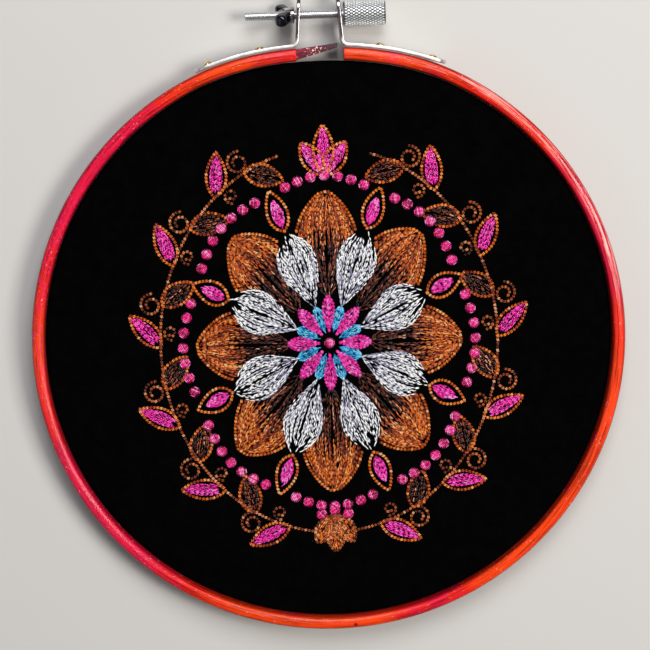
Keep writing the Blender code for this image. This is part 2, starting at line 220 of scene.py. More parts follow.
def wood_places(tree, wall):
    """A place on a wooden ring, how far round and inward it is, and the place on the ring laid straight."""
    along = add_node(tree, 'ShaderNodeAttribute', {"attribute_name": "along"}).outputs["Fac"]
    inward = add_node(tree, 'ShaderNodeAttribute', {"attribute_name": "inward"}).outputs["Fac"]
    place = add_node(tree, 'ShaderNodeTexCoord').outputs["Object"]
    upward = add_node(tree, 'ShaderNodeSeparateXYZ', None, {0: place}).outputs["Z"]
    across = add_node(tree, 'ShaderNodeMath', {"operation": 'MULTIPLY'}, {0: inward, 1: wall}).outputs[0]
    straight = add_node(tree, 'ShaderNodeCombineXYZ', None, {0: along, 1: across, 2: upward}).outputs[0]
    return place, along, inward, straight


# Beech stained and varnished: streaked along its grain and glossy, so that thin glints run along the ring.
# The dye lies in patches a centimetre or two long, with finer specks. It is darker along both edges, partly
# from the dye and partly from painted shade.
ORANGE = "#f04004"
RED = "#e2200c"
CRIMSON = "#da1038"
MAGENTA = "#dc1c58"
DEEP_RED = "#6a060c"
PINK = "#ffb0a4"
stain, tree, shader = new_material("stained_varnished_beech")
place, along, inward, wood = wood_places(tree, RIM_WALL)
patches = add_node(tree, 'ShaderNodeTexNoise', None,
                   {"Vector": wood, "Scale": 120.0, "Detail": 4.0}).outputs["Fac"]
wander = add_node(tree, 'ShaderNodeMath', {"operation": 'MULTIPLY_ADD'},
                  {0: patches, 1: 0.06, 2: -0.03}).outputs[0]
turn = add_node(tree, 'ShaderNodeMath', {"operation": 'MULTIPLY_ADD'},
                {0: along, 1: 1 / (2 * math.pi * RIM_RADIUS), 2: wander}).outputs[0]
# The colours go round clockwise from the gap, whose place is 0 and 1.
zones = add_node(tree, 'ShaderNodeValToRGB', {"stops": (
    (0.000, ORANGE), (0.050, ORANGE), (0.085, RED), (0.135, RED), (0.165, CRIMSON), (0.215, CRIMSON),
    (0.240, RED), (0.285, ORANGE), (0.405, ORANGE), (0.430, RED), (0.447, CRIMSON), (0.460, RED),
    (0.480, ORANGE), (0.560, ORANGE), (0.585, RED), (0.620, CRIMSON), (0.690, CRIMSON), (0.715, RED),
    (0.750, ORANGE), (0.790, RED), (0.825, CRIMSON), (0.885, CRIMSON), (0.912, RED), (0.945, ORANGE),
    (0.960, ORANGE), (0.980, RED), (1.000, RED))}, {"Fac": turn}).outputs[0]
# Grain runs along the ring: streaks about 16 mm long and 0.5 mm wide.
grain_place = add_node(tree, 'ShaderNodeVectorMath', {"operation": 'MULTIPLY'},
                       {0: wood, 1: (60.0, 2000.0, 1200.0)}).outputs[0]
grain = add_node(tree, 'ShaderNodeTexNoise', None,
                 {"Vector": grain_place, "Scale": 1.0, "Detail": 4.0, "Roughness": 0.65}).outputs["Fac"]
shade = add_node(tree, 'ShaderNodeValToRGB', {"stops": ((0.38, 0.20), (0.50, 0.86), (0.68, 1.0))},
                 {"Fac": grain})
streaked = add_node(tree, 'ShaderNodeMix', {"data_type": 'RGBA', "blend_type": 'MULTIPLY'},
                    {0: 0.8, 6: zones, 7: shade.outputs[0]}).outputs[2]
pool = add_node(tree, 'ShaderNodeMath', {"operation": 'MULTIPLY_ADD'},
                {0: patches, 1: 0.70, 2: -0.25}).outputs[0]
pool = add_node(tree, 'ShaderNodeMath', {"operation": 'MULTIPLY_ADD'},
                {0: inward, 1: 0.50, 2: pool}).outputs[0]
pooled = add_node(tree, 'ShaderNodeValToRGB', {"stops": ((0.58, 0.0), (0.76, 0.75))},
                  {"Fac": pool}).outputs[0]
dyed = add_node(tree, 'ShaderNodeMix', {"data_type": 'RGBA'},
                {0: pooled, 6: streaked, 7: linear(CRIMSON)}).outputs[2]
# Specks of magenta dye, about a millimetre across, crowd the ring's left side and its ends beside the gap.
speck_place = add_node(tree, 'ShaderNodeVectorMath', {"operation": 'MULTIPLY'},
                       {0: wood, 1: (900.0, 1300.0, 1300.0)}).outputs[0]
dye = add_node(tree, 'ShaderNodeTexNoise', None,
               {"Vector": speck_place, "Scale": 1.0, "Detail": 2.0}).outputs["Fac"]
dye_specks = add_node(tree, 'ShaderNodeValToRGB', {"stops": ((0.52, 0.0), (0.60, 1.0))},
                      {"Fac": dye}).outputs[0]
crowded = add_node(tree, 'ShaderNodeValToRGB', {"stops": (
    (0.000, 0.3), (0.012, 0.1), (0.026, 0.1), (0.034, 0.9), (0.044, 0.9), (0.054, 0.0), (0.270, 0.0),
    (0.300, 0.15), (0.440, 0.0), (0.590, 0.0), (0.610, 0.6), (0.680, 0.6), (0.710, 0.3), (0.745, 0.8),
    (0.815, 0.9), (0.840, 0.5), (0.900, 0.3), (0.930, 0.0), (0.955, 0.0), (0.968, 0.4), (1.000, 0.4))},
    {"Fac": turn}).outputs[0]
speckling = add_node(tree, 'ShaderNodeMath', {"operation": 'MULTIPLY'},
                     {0: dye_specks, 1: crowded}).outputs[0]
specked = add_node(tree, 'ShaderNodeMix', {"data_type": 'RGBA'},
                   {0: speckling, 6: dyed, 7: linear(MAGENTA)}).outputs[2]
# Both edges are mixed towards deep red: partly the dye, and partly painted shade on the rounded edges.
edge = add_node(tree, 'ShaderNodeValToRGB', {"stops": (
    (0.0, 0.50), (0.07, 0.75), (0.17, 0.0), (0.88, 0.0), (0.96, 0.50), (1.0, 0.60))},
    {"Fac": inward}).outputs[0]
edged = add_node(tree, 'ShaderNodeMix', {"data_type": 'RGBA'},
                 {0: edge, 6: specked, 7: linear(DEEP_RED)}).outputs[2]
# Down the upper right side, pale streaks along the grain towards the outer edge are painted highlights.
highlight_part = add_node(tree, 'ShaderNodeValToRGB', {"stops": (
    (0.055, 0.0), (0.085, 0.9), (0.120, 0.6), (0.155, 1.0), (0.215, 1.0), (0.235, 0.0))},
    {"Fac": turn}).outputs[0]
outer_part = add_node(tree, 'ShaderNodeValToRGB', {"stops": (
    (0.10, 0.4), (0.25, 1.0), (0.55, 0.8), (0.72, 0.0))}, {"Fac": inward}).outputs[0]
highlight_streaks = add_node(tree, 'ShaderNodeValToRGB', {"stops": ((0.49, 0.0), (0.57, 0.9))}, {"Fac": grain}).outputs[0]
highlight_streaks = add_node(tree, 'ShaderNodeMath', {"operation": 'MULTIPLY'}, {0: highlight_streaks, 1: highlight_part}).outputs[0]
highlight_streaks = add_node(tree, 'ShaderNodeMath', {"operation": 'MULTIPLY'}, {0: highlight_streaks, 1: outer_part}).outputs[0]
wear_and_highlight = add_node(tree, 'ShaderNodeMix', {"data_type": 'RGBA'}, {0: highlight_streaks, 6: edged, 7: linear(PINK)}).outputs[2]
# Pale specks about 0.5 mm across are painted glints, where pores in the varnish catch the light.
pore_place = add_node(tree, 'ShaderNodeVectorMath', {"operation": 'MULTIPLY'},
                      {0: wood, 1: (900.0, 2000.0, 2000.0)}).outputs[0]
pores = add_node(tree, 'ShaderNodeTexNoise', None,
                 {"Vector": pore_place, "Scale": 1.0, "Detail": 1.0}).outputs["Fac"]
specks = add_node(tree, 'ShaderNodeValToRGB', {"stops": ((0.69, 0.0), (0.76, 0.5))},
                  {"Fac": pores}).outputs[0]
speckled = add_node(tree, 'ShaderNodeMix', {"data_type": 'RGBA'},
                    {0: specks, 6: wear_and_highlight, 7: linear(PINK)}).outputs[2]
rough = add_node(tree, 'ShaderNodeValToRGB', {"stops": ((0.35, 0.24), (0.65, 0.50))},
                 {"Fac": grain}).outputs[0]
# One small dark knot shows at the bottom of the ring.
to_knot = add_node(tree, 'ShaderNodeVectorMath', {"operation": 'DISTANCE'},
                   {0: place, 1: (0.0059, CENTRE_Y - 0.0993, RIM_TOP)}).outputs["Value"]
knot = add_node(tree, 'ShaderNodeMapRange', None, {
    "Value": to_knot, "From Min": 0.0009, "From Max": 0.0003, "To Min": 0.0, "To Max": 0.9}).outputs[0]
knotted = add_node(tree, 'ShaderNodeMix', {"data_type": 'RGBA'},
                   {0: knot, 6: speckled, 7: linear("#2c0408")}).outputs[2]
relief = add_node(tree, 'ShaderNodeBump', None,
                  {"Strength": 0.8, "Distance": 0.00016, "Height": grain}).outputs[0]
wire(tree, shader, {"Base Color": knotted, "Roughness": rough, "Normal": relief, "Specular IOR Level": 0.10,
                    "Coat Weight": 0.42, "Coat Roughness": 0.14, "Coat Normal": relief})

rim_section = rounded_section(RIM_BORE, RIM_RADIUS, RIM_BASE, RIM_TOP, RIM_ROUNDING, RIM_CROWN, 5)
rim = swept_ring("stained_ring", rim_section, RIM_STEPS, stain, GAP_HALF)

TONGUE_REACH = 0.0059
TONGUE_RISE = 0.0018
TONGUE_TIP = 0.0015
TONGUE_ROOT = 0.0008
TONGUE_INSET = 0.0003
TONGUE_EASING = 0.00025
root_angle = -math.asin((GAP_HALF + TONGUE_ROOT) / RIM_RADIUS)
outer_root = [float(v) for v in drawn_in(RIM_RADIUS - TONGUE_INSET, root_angle)]
inner_root = [float(v) for v in drawn_in(RIM_BORE + TONGUE_INSET, root_angle)]
tip_y = outer_root[1] + TONGUE_RISE
outline = [inner_root, (TONGUE_REACH, tip_y - TONGUE_TIP), (TONGUE_REACH, tip_y), outer_root]
corners = [(x, y, z) for z in (RIM_BASE + TONGUE_INSET, CLOTH_FACE) for x, y in outline]
sides = [(i, (i + 1) % 4, 4 + (i + 1) % 4, 4 + i) for i in range(4)]
# The tongue is raw wood that soaked up crimson dye: dark and dull, with drops of varnish. Their sparkle is
# painted as pale glints, and a painted shadow darkens the tongue towards its tip.
soaked, tree, shader = new_material("crimson_dyed_split_beech")
place = add_node(tree, 'ShaderNodeTexCoord').outputs["Object"]
fibre_place = add_node(tree, 'ShaderNodeVectorMath', {"operation": 'MULTIPLY'},
                       {0: place, 1: (250.0, 1800.0, 1800.0)}).outputs[0]
fibres = add_node(tree, 'ShaderNodeTexNoise', None,
                  {"Vector": fibre_place, "Scale": 1.0, "Detail": 3.0}).outputs["Fac"]
tint = add_node(tree, 'ShaderNodeValToRGB', {"stops": (
    (0.30, "#300310"), (0.55, "#740a28"), (0.80, "#a01634"))}, {"Fac": fibres}).outputs[0]
# Painted glints: pale specks where this noise peaks, gathered on the tongue's left part.
drops_and_glints = add_node(tree, 'ShaderNodeTexNoise', None,
                 {"Vector": place, "Scale": 1500.0, "Detail": 1.0}).outputs["Fac"]
from_tip = add_node(tree, 'ShaderNodeSeparateXYZ', None, {0: place}).outputs["X"]
from_glints = add_node(tree, 'ShaderNodeMath', {"operation": 'ADD'}, {0: from_tip, 1: 0.0024}).outputs[0]
from_glints = add_node(tree, 'ShaderNodeMath', {"operation": 'ABSOLUTE'}, {0: from_glints}).outputs[0]
glint_reach = add_node(tree, 'ShaderNodeMapRange', None, {
    "Value": from_glints, "From Min": 0.0036, "From Max": 0.0018, "To Min": -0.12, "To Max": 0.0}).outputs[0]
drops_and_glints = add_node(tree, 'ShaderNodeMath', {"operation": 'ADD'}, {0: drops_and_glints, 1: glint_reach}).outputs[0]
# Painted shadow: the tongue darkens towards its tip, beside the right-hand end of the ring.
painted_tip_shadow = add_node(tree, 'ShaderNodeMapRange', None, {
    "Value": from_tip, "From Min": -0.006, "From Max": 0.003, "To Min": 0.0, "To Max": 0.92}).outputs[0]
tip_shadowed_tint = add_node(tree, 'ShaderNodeMix', {"data_type": 'RGBA'},
                       {0: painted_tip_shadow, 6: tint, 7: linear("#2a020e")}).outputs[2]
painted_sparkle = add_node(tree, 'ShaderNodeValToRGB', {"stops": ((0.56, 0.0), (0.62, 0.9))},
                   {"Fac": drops_and_glints}).outputs[0]
shadowed_and_sparkled = add_node(tree, 'ShaderNodeMix', {"data_type": 'RGBA'},
                  {0: painted_sparkle, 6: tip_shadowed_tint, 7: linear("#ffc8c4")}).outputs[2]
relief = add_node(tree, 'ShaderNodeBump', None,
                  {"Strength": 0.6, "Distance": 0.0001, "Height": drops_and_glints}).outputs[0]
wire(tree, shader, {"Base Color": shadowed_and_sparkled, "Roughness": 0.5, "Specular IOR Level": 0.3, "Normal": relief})
tongue = mesh_piece("ring_tongue", corners, [(3, 2, 1, 0), (4, 5, 6, 7)] + sides, soaked)
shape = bmesh.new()
shape.from_mesh(tongue.data)
bmesh.ops.bevel(shape, geom=shape.edges, offset=TONGUE_EASING, segments=3, profile=0.5, affect='EDGES')
shape.to_mesh(tongue.data)
shape.free()
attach(rim, "hoop")
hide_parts("hoop_outer")
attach(tongue, "hoop")

# Inner ring: the plain beech hoop that the cloth is stretched over, sanded and left bare.
# It lies inside the outer ring, and shows from behind.
INNER_OUTSIDE = 0.0952
INNER_BORE = 0.0912
INNER_TOP = 0.0080
INNER_ROUNDING = 0.0006
INNER_STEPS = 360
beech, tree, shader = new_material("bare_sanded_beech")
wood = wood_places(tree, INNER_OUTSIDE - INNER_BORE)[-1]
# Beech shows short dark flecks, 2 to 3 mm long and 0.3 mm wide, over a faint grain.
fleck_place = add_node(tree, 'ShaderNodeVectorMath', {"operation": 'MULTIPLY'},
                       {0: wood, 1: (350.0, 3000.0, 3000.0)}).outputs[0]
flecks = add_node(tree, 'ShaderNodeTexNoise', None,
                  {"Vector": fleck_place, "Scale": 1.0, "Detail": 2.0}).outputs["Fac"]
grain_place = add_node(tree, 'ShaderNodeVectorMath', {"operation": 'MULTIPLY'},
                       {0: wood, 1: (25.0, 700.0, 700.0)}).outputs[0]
grain = add_node(tree, 'ShaderNodeTexNoise', None,
                 {"Vector": grain_place, "Scale": 1.0, "Detail": 4.0}).outputs["Fac"]
tint = add_node(tree, 'ShaderNodeValToRGB', {"stops": (
    (0.3, "#b98a58"), (0.55, "#d5ac78"), (0.8, "#e3c195"))}, {"Fac": grain}).outputs[0]
dark = add_node(tree, 'ShaderNodeValToRGB', {"stops": ((0.28, 0.6), (0.40, 0.0))}, {"Fac": flecks}).outputs[0]
flecked = add_node(tree, 'ShaderNodeMix', {"data_type": 'RGBA'},
                   {0: dark, 6: tint, 7: linear("#8a5a30")}).outputs[2]
relief = add_node(tree, 'ShaderNodeBump', None,
                  {"Strength": 0.3, "Distance": 0.0001, "Height": grain}).outputs[0]
wire(tree, shader, {"Base Color": flecked, "Roughness": 0.62, "Normal": relief})
inner_section = rounded_section(INNER_BORE, INNER_OUTSIDE, 0.0, INNER_TOP, INNER_ROUNDING, 0.0, 4)
inner = swept_ring("bare_inner_ring", inner_section, INNER_STEPS, beech)
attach(inner, "hoop")
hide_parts("hoop_inner")

# Cloth: black cotton, plain woven, cut round and pulled drum tight over the inner ring.
# The outer ring clamps it, and its raw edge ends between the two rings.
CLOTH_RADIUS = 0.0965
CLOTH_THICKNESS = 0.0010
CLOTH_FOLD = 0.0015
CLOTH_HEM = 0.0006
CLOTH_HEM_BEND = 0.0040
CLOTH_STEPS = 288
CLOTH_FACE_RADII = (0.020, 0.040, 0.060, 0.070, 0.080, 0.085, 0.090, 0.093)
cotton, tree, shader = new_material("black_plain_woven_cotton")
place = add_node(tree, 'ShaderNodeTexCoord').outputs["Object"]
# Threads are about 0.4 mm apart. They are drawn 0.8 mm apart, because finer ones don't show in the render.
threads = add_node(tree, 'ShaderNodeVectorMath', {"operation": 'SCALE'},
                   {0: place, "Scale": math.pi / 0.0008}).outputs[0]
split = add_node(tree, 'ShaderNodeSeparateXYZ', None, {0: threads})
warp = add_node(tree, 'ShaderNodeMath', {"operation": 'SINE'}, {0: split.outputs["X"]}).outputs[0]
weft = add_node(tree, 'ShaderNodeMath', {"operation": 'SINE'}, {0: split.outputs["Y"]}).outputs[0]
crossing = add_node(tree, 'ShaderNodeMath', {"operation": 'MULTIPLY'}, {0: warp, 1: weft}).outputs[0]
weave = add_node(tree, 'ShaderNodeMath', {"operation": 'ABSOLUTE'}, {0: crossing}).outputs[0]
slub = add_node(tree, 'ShaderNodeTexNoise', None,
                {"Vector": place, "Scale": 260.0, "Detail": 3.0}).outputs["Fac"]
cloth_tone = add_node(tree, 'ShaderNodeMath', {"operation": 'MULTIPLY_ADD'},
                      {0: weave, 1: 0.35, 2: slub}).outputs[0]
black = add_node(tree, 'ShaderNodeValToRGB', {"stops": ((0.3, "#000000"), (0.9, "#030303"))},
                 {"Fac": cloth_tone}).outputs[0]
# A few specks of lint, up to 0.5 mm across, lie on the cloth.
fluff = add_node(tree, 'ShaderNodeTexNoise', None,
                 {"Vector": place, "Scale": 1300.0, "Detail": 1.0}).outputs["Fac"]
lint = add_node(tree, 'ShaderNodeValToRGB', {"stops": ((0.80, 0.0), (0.86, 0.5))}, {"Fac": fluff}).outputs[0]
linty = add_node(tree, 'ShaderNodeMix', {"data_type": 'RGBA'},
                 {0: lint, 6: black, 7: linear("#3c3a3c")}).outputs[2]
relief = add_node(tree, 'ShaderNodeBump', None,
                  {"Strength": 0.4, "Distance": 0.0001, "Height": weave}).outputs[0]
wire(tree, shader, {"Base Color": linty, "Roughness": 0.95, "Specular IOR Level": 0.02, "Normal": relief})

fold_radius, fold_height = CLOTH_RADIUS - CLOTH_FOLD, CLOTH_FACE - CLOTH_FOLD
turns = [math.radians(90.0 - 10.0 * step) for step in range(10)]
face = [(radius, CLOTH_FACE) for radius in CLOTH_FACE_RADII]
under = [(radius, CLOTH_FACE - CLOTH_THICKNESS) for radius in reversed(CLOTH_FACE_RADII)]
outer_fold = [(fold_radius + CLOTH_FOLD * math.cos(t), fold_height + CLOTH_FOLD * math.sin(t)) for t in turns]
inner_reach = CLOTH_FOLD - CLOTH_THICKNESS
inner_fold = [(fold_radius + inner_reach * math.cos(t), fold_height + inner_reach * math.sin(t))
              for t in reversed(turns)]
hem = [(CLOTH_RADIUS, CLOTH_HEM_BEND), (CLOTH_RADIUS, CLOTH_HEM),
       (CLOTH_RADIUS - CLOTH_THICKNESS, CLOTH_HEM), (CLOTH_RADIUS - CLOTH_THICKNESS, CLOTH_HEM_BEND)]
profile = face + outer_fold + hem + inner_fold + under
angles = np.arange(CLOTH_STEPS) * 2 * math.pi / CLOTH_STEPS
rows = []
for radius, height in profile:
    x, y = drawn_in(np.full(CLOTH_STEPS, radius), angles)
    rows.append(np.stack([x, y, np.full(CLOTH_STEPS, height)], -1))
poles = np.array([(0.0, CENTRE_Y, CLOTH_FACE), (0.0, CENTRE_Y, CLOTH_FACE - CLOTH_THICKNESS)])
points = np.concatenate(rows + [poles])
faces = tube_faces(len(profile), CLOTH_STEPS)
last, top_pole = (len(profile) - 1) * CLOTH_STEPS, len(profile) * CLOTH_STEPS
for column in range(CLOTH_STEPS):
    right = (column + 1) % CLOTH_STEPS
    faces += [(top_pole, right, column), (top_pole + 1, last + column, last + right)]
cloth = mesh_piece("black_cloth", points, faces, cotton)
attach(cloth, "hoop")
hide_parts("cloth")

# Embroidery: shiny rayon machine thread, about 0.4 mm thick, sewn through the cloth in short flat stitches.
# The design is a flower with eight petals in an oval wreath. Every stitch is an arched length of thread
# that dips into the cloth at both ends. Its places are in millimetres from the middle of the rings.
MM = 0.001
STITCH_SIDES = 5
STITCH_SEGMENTS = 4
STITCH_TAPER = 2.0
STITCH_ARCH = 0.45
STITCH_DROP = 3.2
TONE_SPREAD = 0.42
GUIDE_STEP = 0.7
LINE_JITTER = 0.25
LINE_STREAK = 0.18
RAGGED_START = 1.6
ROPE_LIFT = 0.16
ROPE_SLANT = 0.38
CURL_POINTS = 26
CURL_CLOSING = 0.62
sewing = random.Random(7)


def new_tree(name, inputs):
    """An empty Geometry Nodes tree with a Geometry input and output and the named inputs given."""
    made = bpy.data.node_groups.new(name, 'GeometryNodeTree')
    made.interface.new_socket("Geometry", in_out='INPUT', socket_type='NodeSocketGeometry')
    made.interface.new_socket("Geometry", in_out='OUTPUT', socket_type='NodeSocketGeometry')
    for label, kind in inputs.items():
        made.interface.new_socket(label, in_out='INPUT', socket_type=kind)
    return made, made.nodes.new('NodeGroupInput').outputs, made.nodes.new('NodeGroupOutput')


def grown(name, source, tree, inputs, body):
    """Run a tree on an object with these inputs and keep what it makes as a plain mesh riding on a body."""
    modifier = source.modifiers.new(tree.name, 'NODES')
    modifier.node_group = tree
    for item in tree.interface.items_tree:
        if item.item_type == 'SOCKET' and item.in_out == 'INPUT' and item.name in inputs:
            modifier[item.identifier] = inputs[item.name]
    graph = bpy.context.evaluated_depsgraph_get()
    mesh = bpy.data.meshes.new_from_object(source.evaluated_get(graph))
    bpy.data.objects.remove(source)
    mesh.name = name
    made = in_scene(name, mesh)
    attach(made, body)
    return made


def add_thread(tree):
    """Nodes for a stitch 1 long, wide and high, arched along X, that stores its own place for the twist."""
    rod = add_node(tree, 'GeometryNodeMeshCylinder', {"fill_type": 'NGON'},
                   {"Vertices": STITCH_SIDES, "Side Segments": STITCH_SEGMENTS, "Radius": 0.5, "Depth": 1.0})
    here = add_node(tree, 'ShaderNodeSeparateXYZ', None,
                    {0: add_node(tree, 'GeometryNodeInputPosition').outputs[0]}).outputs
    square = add_node(tree, 'ShaderNodeMath', {"operation": 'MULTIPLY'},
                      {0: here["Z"], 1: here["Z"]}).outputs[0]
    taper = add_node(tree, 'ShaderNodeMath', {"operation": 'MULTIPLY_ADD'},
                     {0: square, 1: -STITCH_TAPER, 2: 1.0}).outputs[0]
    wide = add_node(tree, 'ShaderNodeMath', {"operation": 'MULTIPLY'}, {0: here["Y"], 1: taper}).outputs[0]
    tall = add_node(tree, 'ShaderNodeMath', {"operation": 'MULTIPLY'}, {0: here["X"], 1: taper}).outputs[0]
    arch = add_node(tree, 'ShaderNodeMath', {"operation": 'MULTIPLY_ADD'},
                    {0: square, 1: -STITCH_DROP, 2: STITCH_ARCH}).outputs[0]
    lifted = add_node(tree, 'ShaderNodeMath', {"operation": 'ADD'}, {0: tall, 1: arch}).outputs[0]
    spot = add_node(tree, 'ShaderNodeCombineXYZ', None, {0: here["Z"], 1: wide, 2: tall}).outputs[0]
    marked = add_node(tree, 'GeometryNodeStoreNamedAttribute', {
        "data_type": 'FLOAT_VECTOR', "domain": 'POINT'},
        {"Geometry": rod.outputs["Mesh"], "Name": "thread_spot", "Value": spot}).outputs[0]
    bent = add_node(tree, 'ShaderNodeCombineXYZ', None, {0: here["Z"], 1: wide, 2: lifted}).outputs[0]
    return add_node(tree, 'GeometryNodeSetPosition', None, {"Geometry": marked, "Position": bent}).outputs[0]


# Stitches along guide lines: each line is divided by the stitch length, and one stitch is laid at each point.
# Every stitch has six numbers of its own from -1 to 1: for its shift, swing, rock, length, tone and absence.
sewn_lines, given, result = new_tree("stitches_along_lines", {
    "Stitch length": 'NodeSocketFloat', "Overlap": 'NodeSocketFloat', "Thread width": 'NodeSocketFloat',
    "Thread height": 'NodeSocketFloat', "Wander": 'NodeSocketFloat', "Side shift": 'NodeSocketFloat',
    "Length spread": 'NodeSocketFloat', "Gaps": 'NodeSocketFloat', "Paired": 'NodeSocketBool',
    "Thread": 'NodeSocketMaterial', "Seed": 'NodeSocketInt'})
tree = sewn_lines
chances = []
for number in range(6):
    seed = add_node(tree, 'ShaderNodeMath', {"operation": 'ADD'}, {0: given["Seed"], 1: number}).outputs[0]
    chances.append(add_node(tree, 'FunctionNodeRandomValue', {"data_type": 'FLOAT'},
                            {2: -1.0, 3: 1.0, 8: seed}).outputs[1])
line = add_node(tree, 'GeometryNodeMeshToCurve', None, {0: given["Geometry"]}).outputs[0]
step = add_node(tree, 'ShaderNodeMath', {"operation": 'MULTIPLY'},
                {0: given["Stitch length"], 1: given["Overlap"]}).outputs[0]
divided = add_node(tree, 'GeometryNodeResampleCurve', {"mode": 'LENGTH'},
                   {"Curve": line, "Length": step}).outputs[0]
way = add_node(tree, 'GeometryNodeInputTangent').outputs[0]
side = add_node(tree, 'ShaderNodeVectorMath', {"operation": 'CROSS_PRODUCT'},
                {0: way, 1: (0.0, 0.0, 1.0)}).outputs[0]
shift = add_node(tree, 'ShaderNodeMath', {"operation": 'MULTIPLY'},
                 {0: chances[0], 1: given["Side shift"]}).outputs[0]
moved = add_node(tree, 'ShaderNodeVectorMath', {"operation": 'SCALE'}, {0: side, "Scale": shift}).outputs[0]
facing = add_node(tree, 'FunctionNodeAlignRotationToVector', {"axis": 'X', "pivot_axis": 'Z'},
                  {"Vector": way}).outputs[0]
lean = add_node(tree, 'GeometryNodeInputNamedAttribute', {"data_type": 'FLOAT'}, {"Name": "slant"}).outputs[0]
stray = add_node(tree, 'ShaderNodeMath', {"operation": 'MULTIPLY_ADD'},
                 {0: chances[1], 1: given["Wander"], 2: lean}).outputs[0]
swing = add_node(tree, 'FunctionNodeAxisAngleToRotation', None,
                 {"Axis": (0.0, 0.0, 1.0), "Angle": stray}).outputs[0]
tip = add_node(tree, 'ShaderNodeMath', {"operation": 'MULTIPLY'}, {0: chances[2], 1: 0.12}).outputs[0]
rock = add_node(tree, 'FunctionNodeAxisAngleToRotation', None,
                {"Axis": (0.0, 1.0, 0.0), "Angle": tip}).outputs[0]
turned = add_node(tree, 'FunctionNodeRotateRotation', {"rotation_space": 'LOCAL'},
                  {0: facing, 1: swing}).outputs[0]
turned = add_node(tree, 'FunctionNodeRotateRotation', {"rotation_space": 'LOCAL'},
                  {0: turned, 1: rock}).outputs[0]
spread = add_node(tree, 'ShaderNodeMath', {"operation": 'MULTIPLY_ADD'},
                  {0: chances[3], 1: given["Length spread"], 2: 1.0}).outputs[0]
length = add_node(tree, 'ShaderNodeMath', {"operation": 'MULTIPLY'},
                  {0: spread, 1: given["Stitch length"]}).outputs[0]
size = add_node(tree, 'ShaderNodeCombineXYZ', None,
                {0: length, 1: given["Thread width"], 2: given["Thread height"]}).outputs[0]
tone = add_node(tree, 'GeometryNodeInputNamedAttribute', {"data_type": 'FLOAT'}, {"Name": "tone"}).outputs[0]
varied = add_node(tree, 'ShaderNodeMath', {"operation": 'MULTIPLY_ADD'},
                  {0: chances[4], 1: TONE_SPREAD, 2: tone}).outputs[0]
toned = add_node(tree, 'GeometryNodeStoreNamedAttribute', {"data_type": 'FLOAT', "domain": 'POINT'},
                 {"Geometry": divided, "Name": "tone", "Value": varied}).outputs[0]
least = add_node(tree, 'ShaderNodeMath', {"operation": 'MULTIPLY_ADD'},
                 {0: given["Gaps"], 1: 2.0, 2: -1.0}).outputs[0]
kept = add_node(tree, 'ShaderNodeMath', {"operation": 'GREATER_THAN'}, {0: chances[5], 1: least}).outputs[0]
stitch = add_thread(tree)
pair = add_node(tree, 'GeometryNodeJoinGeometry')
for beside in (-0.46, 0.46):
    tree.links.new(add_node(tree, 'GeometryNodeTransform', None, {
        "Geometry": stitch, "Translation": (0.0, beside, 0.0)}).outputs[0], pair.inputs[0])
laid = add_node(tree, 'GeometryNodeSwitch', {"input_type": 'GEOMETRY'},
                {"Switch": given["Paired"], "False": stitch, "True": pair.outputs[0]}).outputs[0]
placed = add_node(tree, 'GeometryNodeInstanceOnPoints', None, {
    "Points": toned, "Selection": kept, "Instance": laid, "Rotation": turned, "Scale": size}).outputs[0]
shifted = add_node(tree, 'GeometryNodeTranslateInstances', None,
                   {"Instances": placed, "Translation": moved, "Local Space": False}).outputs[0]
real = add_node(tree, 'GeometryNodeRealizeInstances', None, {0: shifted}).outputs[0]
smooth = add_node(tree, 'GeometryNodeSetShadeSmooth', None, {"Geometry": real}).outputs[0]
dressed = add_node(tree, 'GeometryNodeSetMaterial', None,
                   {"Geometry": smooth, "Material": given["Thread"]}).outputs[0]
wire(tree, result, {0: dressed})

# Round satin dots: parallel stitches as long as a circle's chords, with a second layer across the first.
# Each dot is turned by an angle of its own.
DOT_STITCHES = 7
DOT_REACH = 0.86
CROSSING = math.radians(68.0)
satin_dots, given, result = new_tree("round_satin_dots", {
    "Dot radius": 'NodeSocketFloat', "Thread width": 'NodeSocketFloat', "Thread height": 'NodeSocketFloat',
    "Thread": 'NodeSocketMaterial', "Seed": 'NodeSocketInt'})
tree = satin_dots
count = add_node(tree, 'GeometryNodeInputIndex').outputs[0]
middle = (DOT_STITCHES - 1) / 2
share = add_node(tree, 'ShaderNodeMath', {"operation": 'MULTIPLY_ADD'},
                 {0: count, 1: DOT_REACH / middle, 2: -DOT_REACH}).outputs[0]
square = add_node(tree, 'ShaderNodeMath', {"operation": 'MULTIPLY'}, {0: share, 1: share}).outputs[0]
rest = add_node(tree, 'ShaderNodeMath', {"operation": 'SUBTRACT'}, {0: 1.0, 1: square}).outputs[0]
chord = add_node(tree, 'ShaderNodeMath', {"operation": 'SQRT'}, {0: rest}).outputs[0]
row = add_node(tree, 'GeometryNodeMeshLine', None,
               {"Count": DOT_STITCHES, "Offset": (0.0, 0.0, 0.0)}).outputs[0]
beside = add_node(tree, 'ShaderNodeMath', {"operation": 'MULTIPLY'},
                  {0: share, 1: given["Dot radius"]}).outputs[0]
domed = add_node(tree, 'ShaderNodeMath', {"operation": 'MULTIPLY'},
                 {0: chord, 1: given["Thread height"]}).outputs[0]
spot = add_node(tree, 'ShaderNodeCombineXYZ', None, {1: beside, 2: domed}).outputs[0]
row = add_node(tree, 'GeometryNodeSetPosition', None, {"Geometry": row, "Position": spot}).outputs[0]
doubled = add_node(tree, 'ShaderNodeMath', {"operation": 'MULTIPLY'}, {0: chord, 1: 2.1}).outputs[0]
length = add_node(tree, 'ShaderNodeMath', {"operation": 'MULTIPLY'},
                  {0: doubled, 1: given["Dot radius"]}).outputs[0]
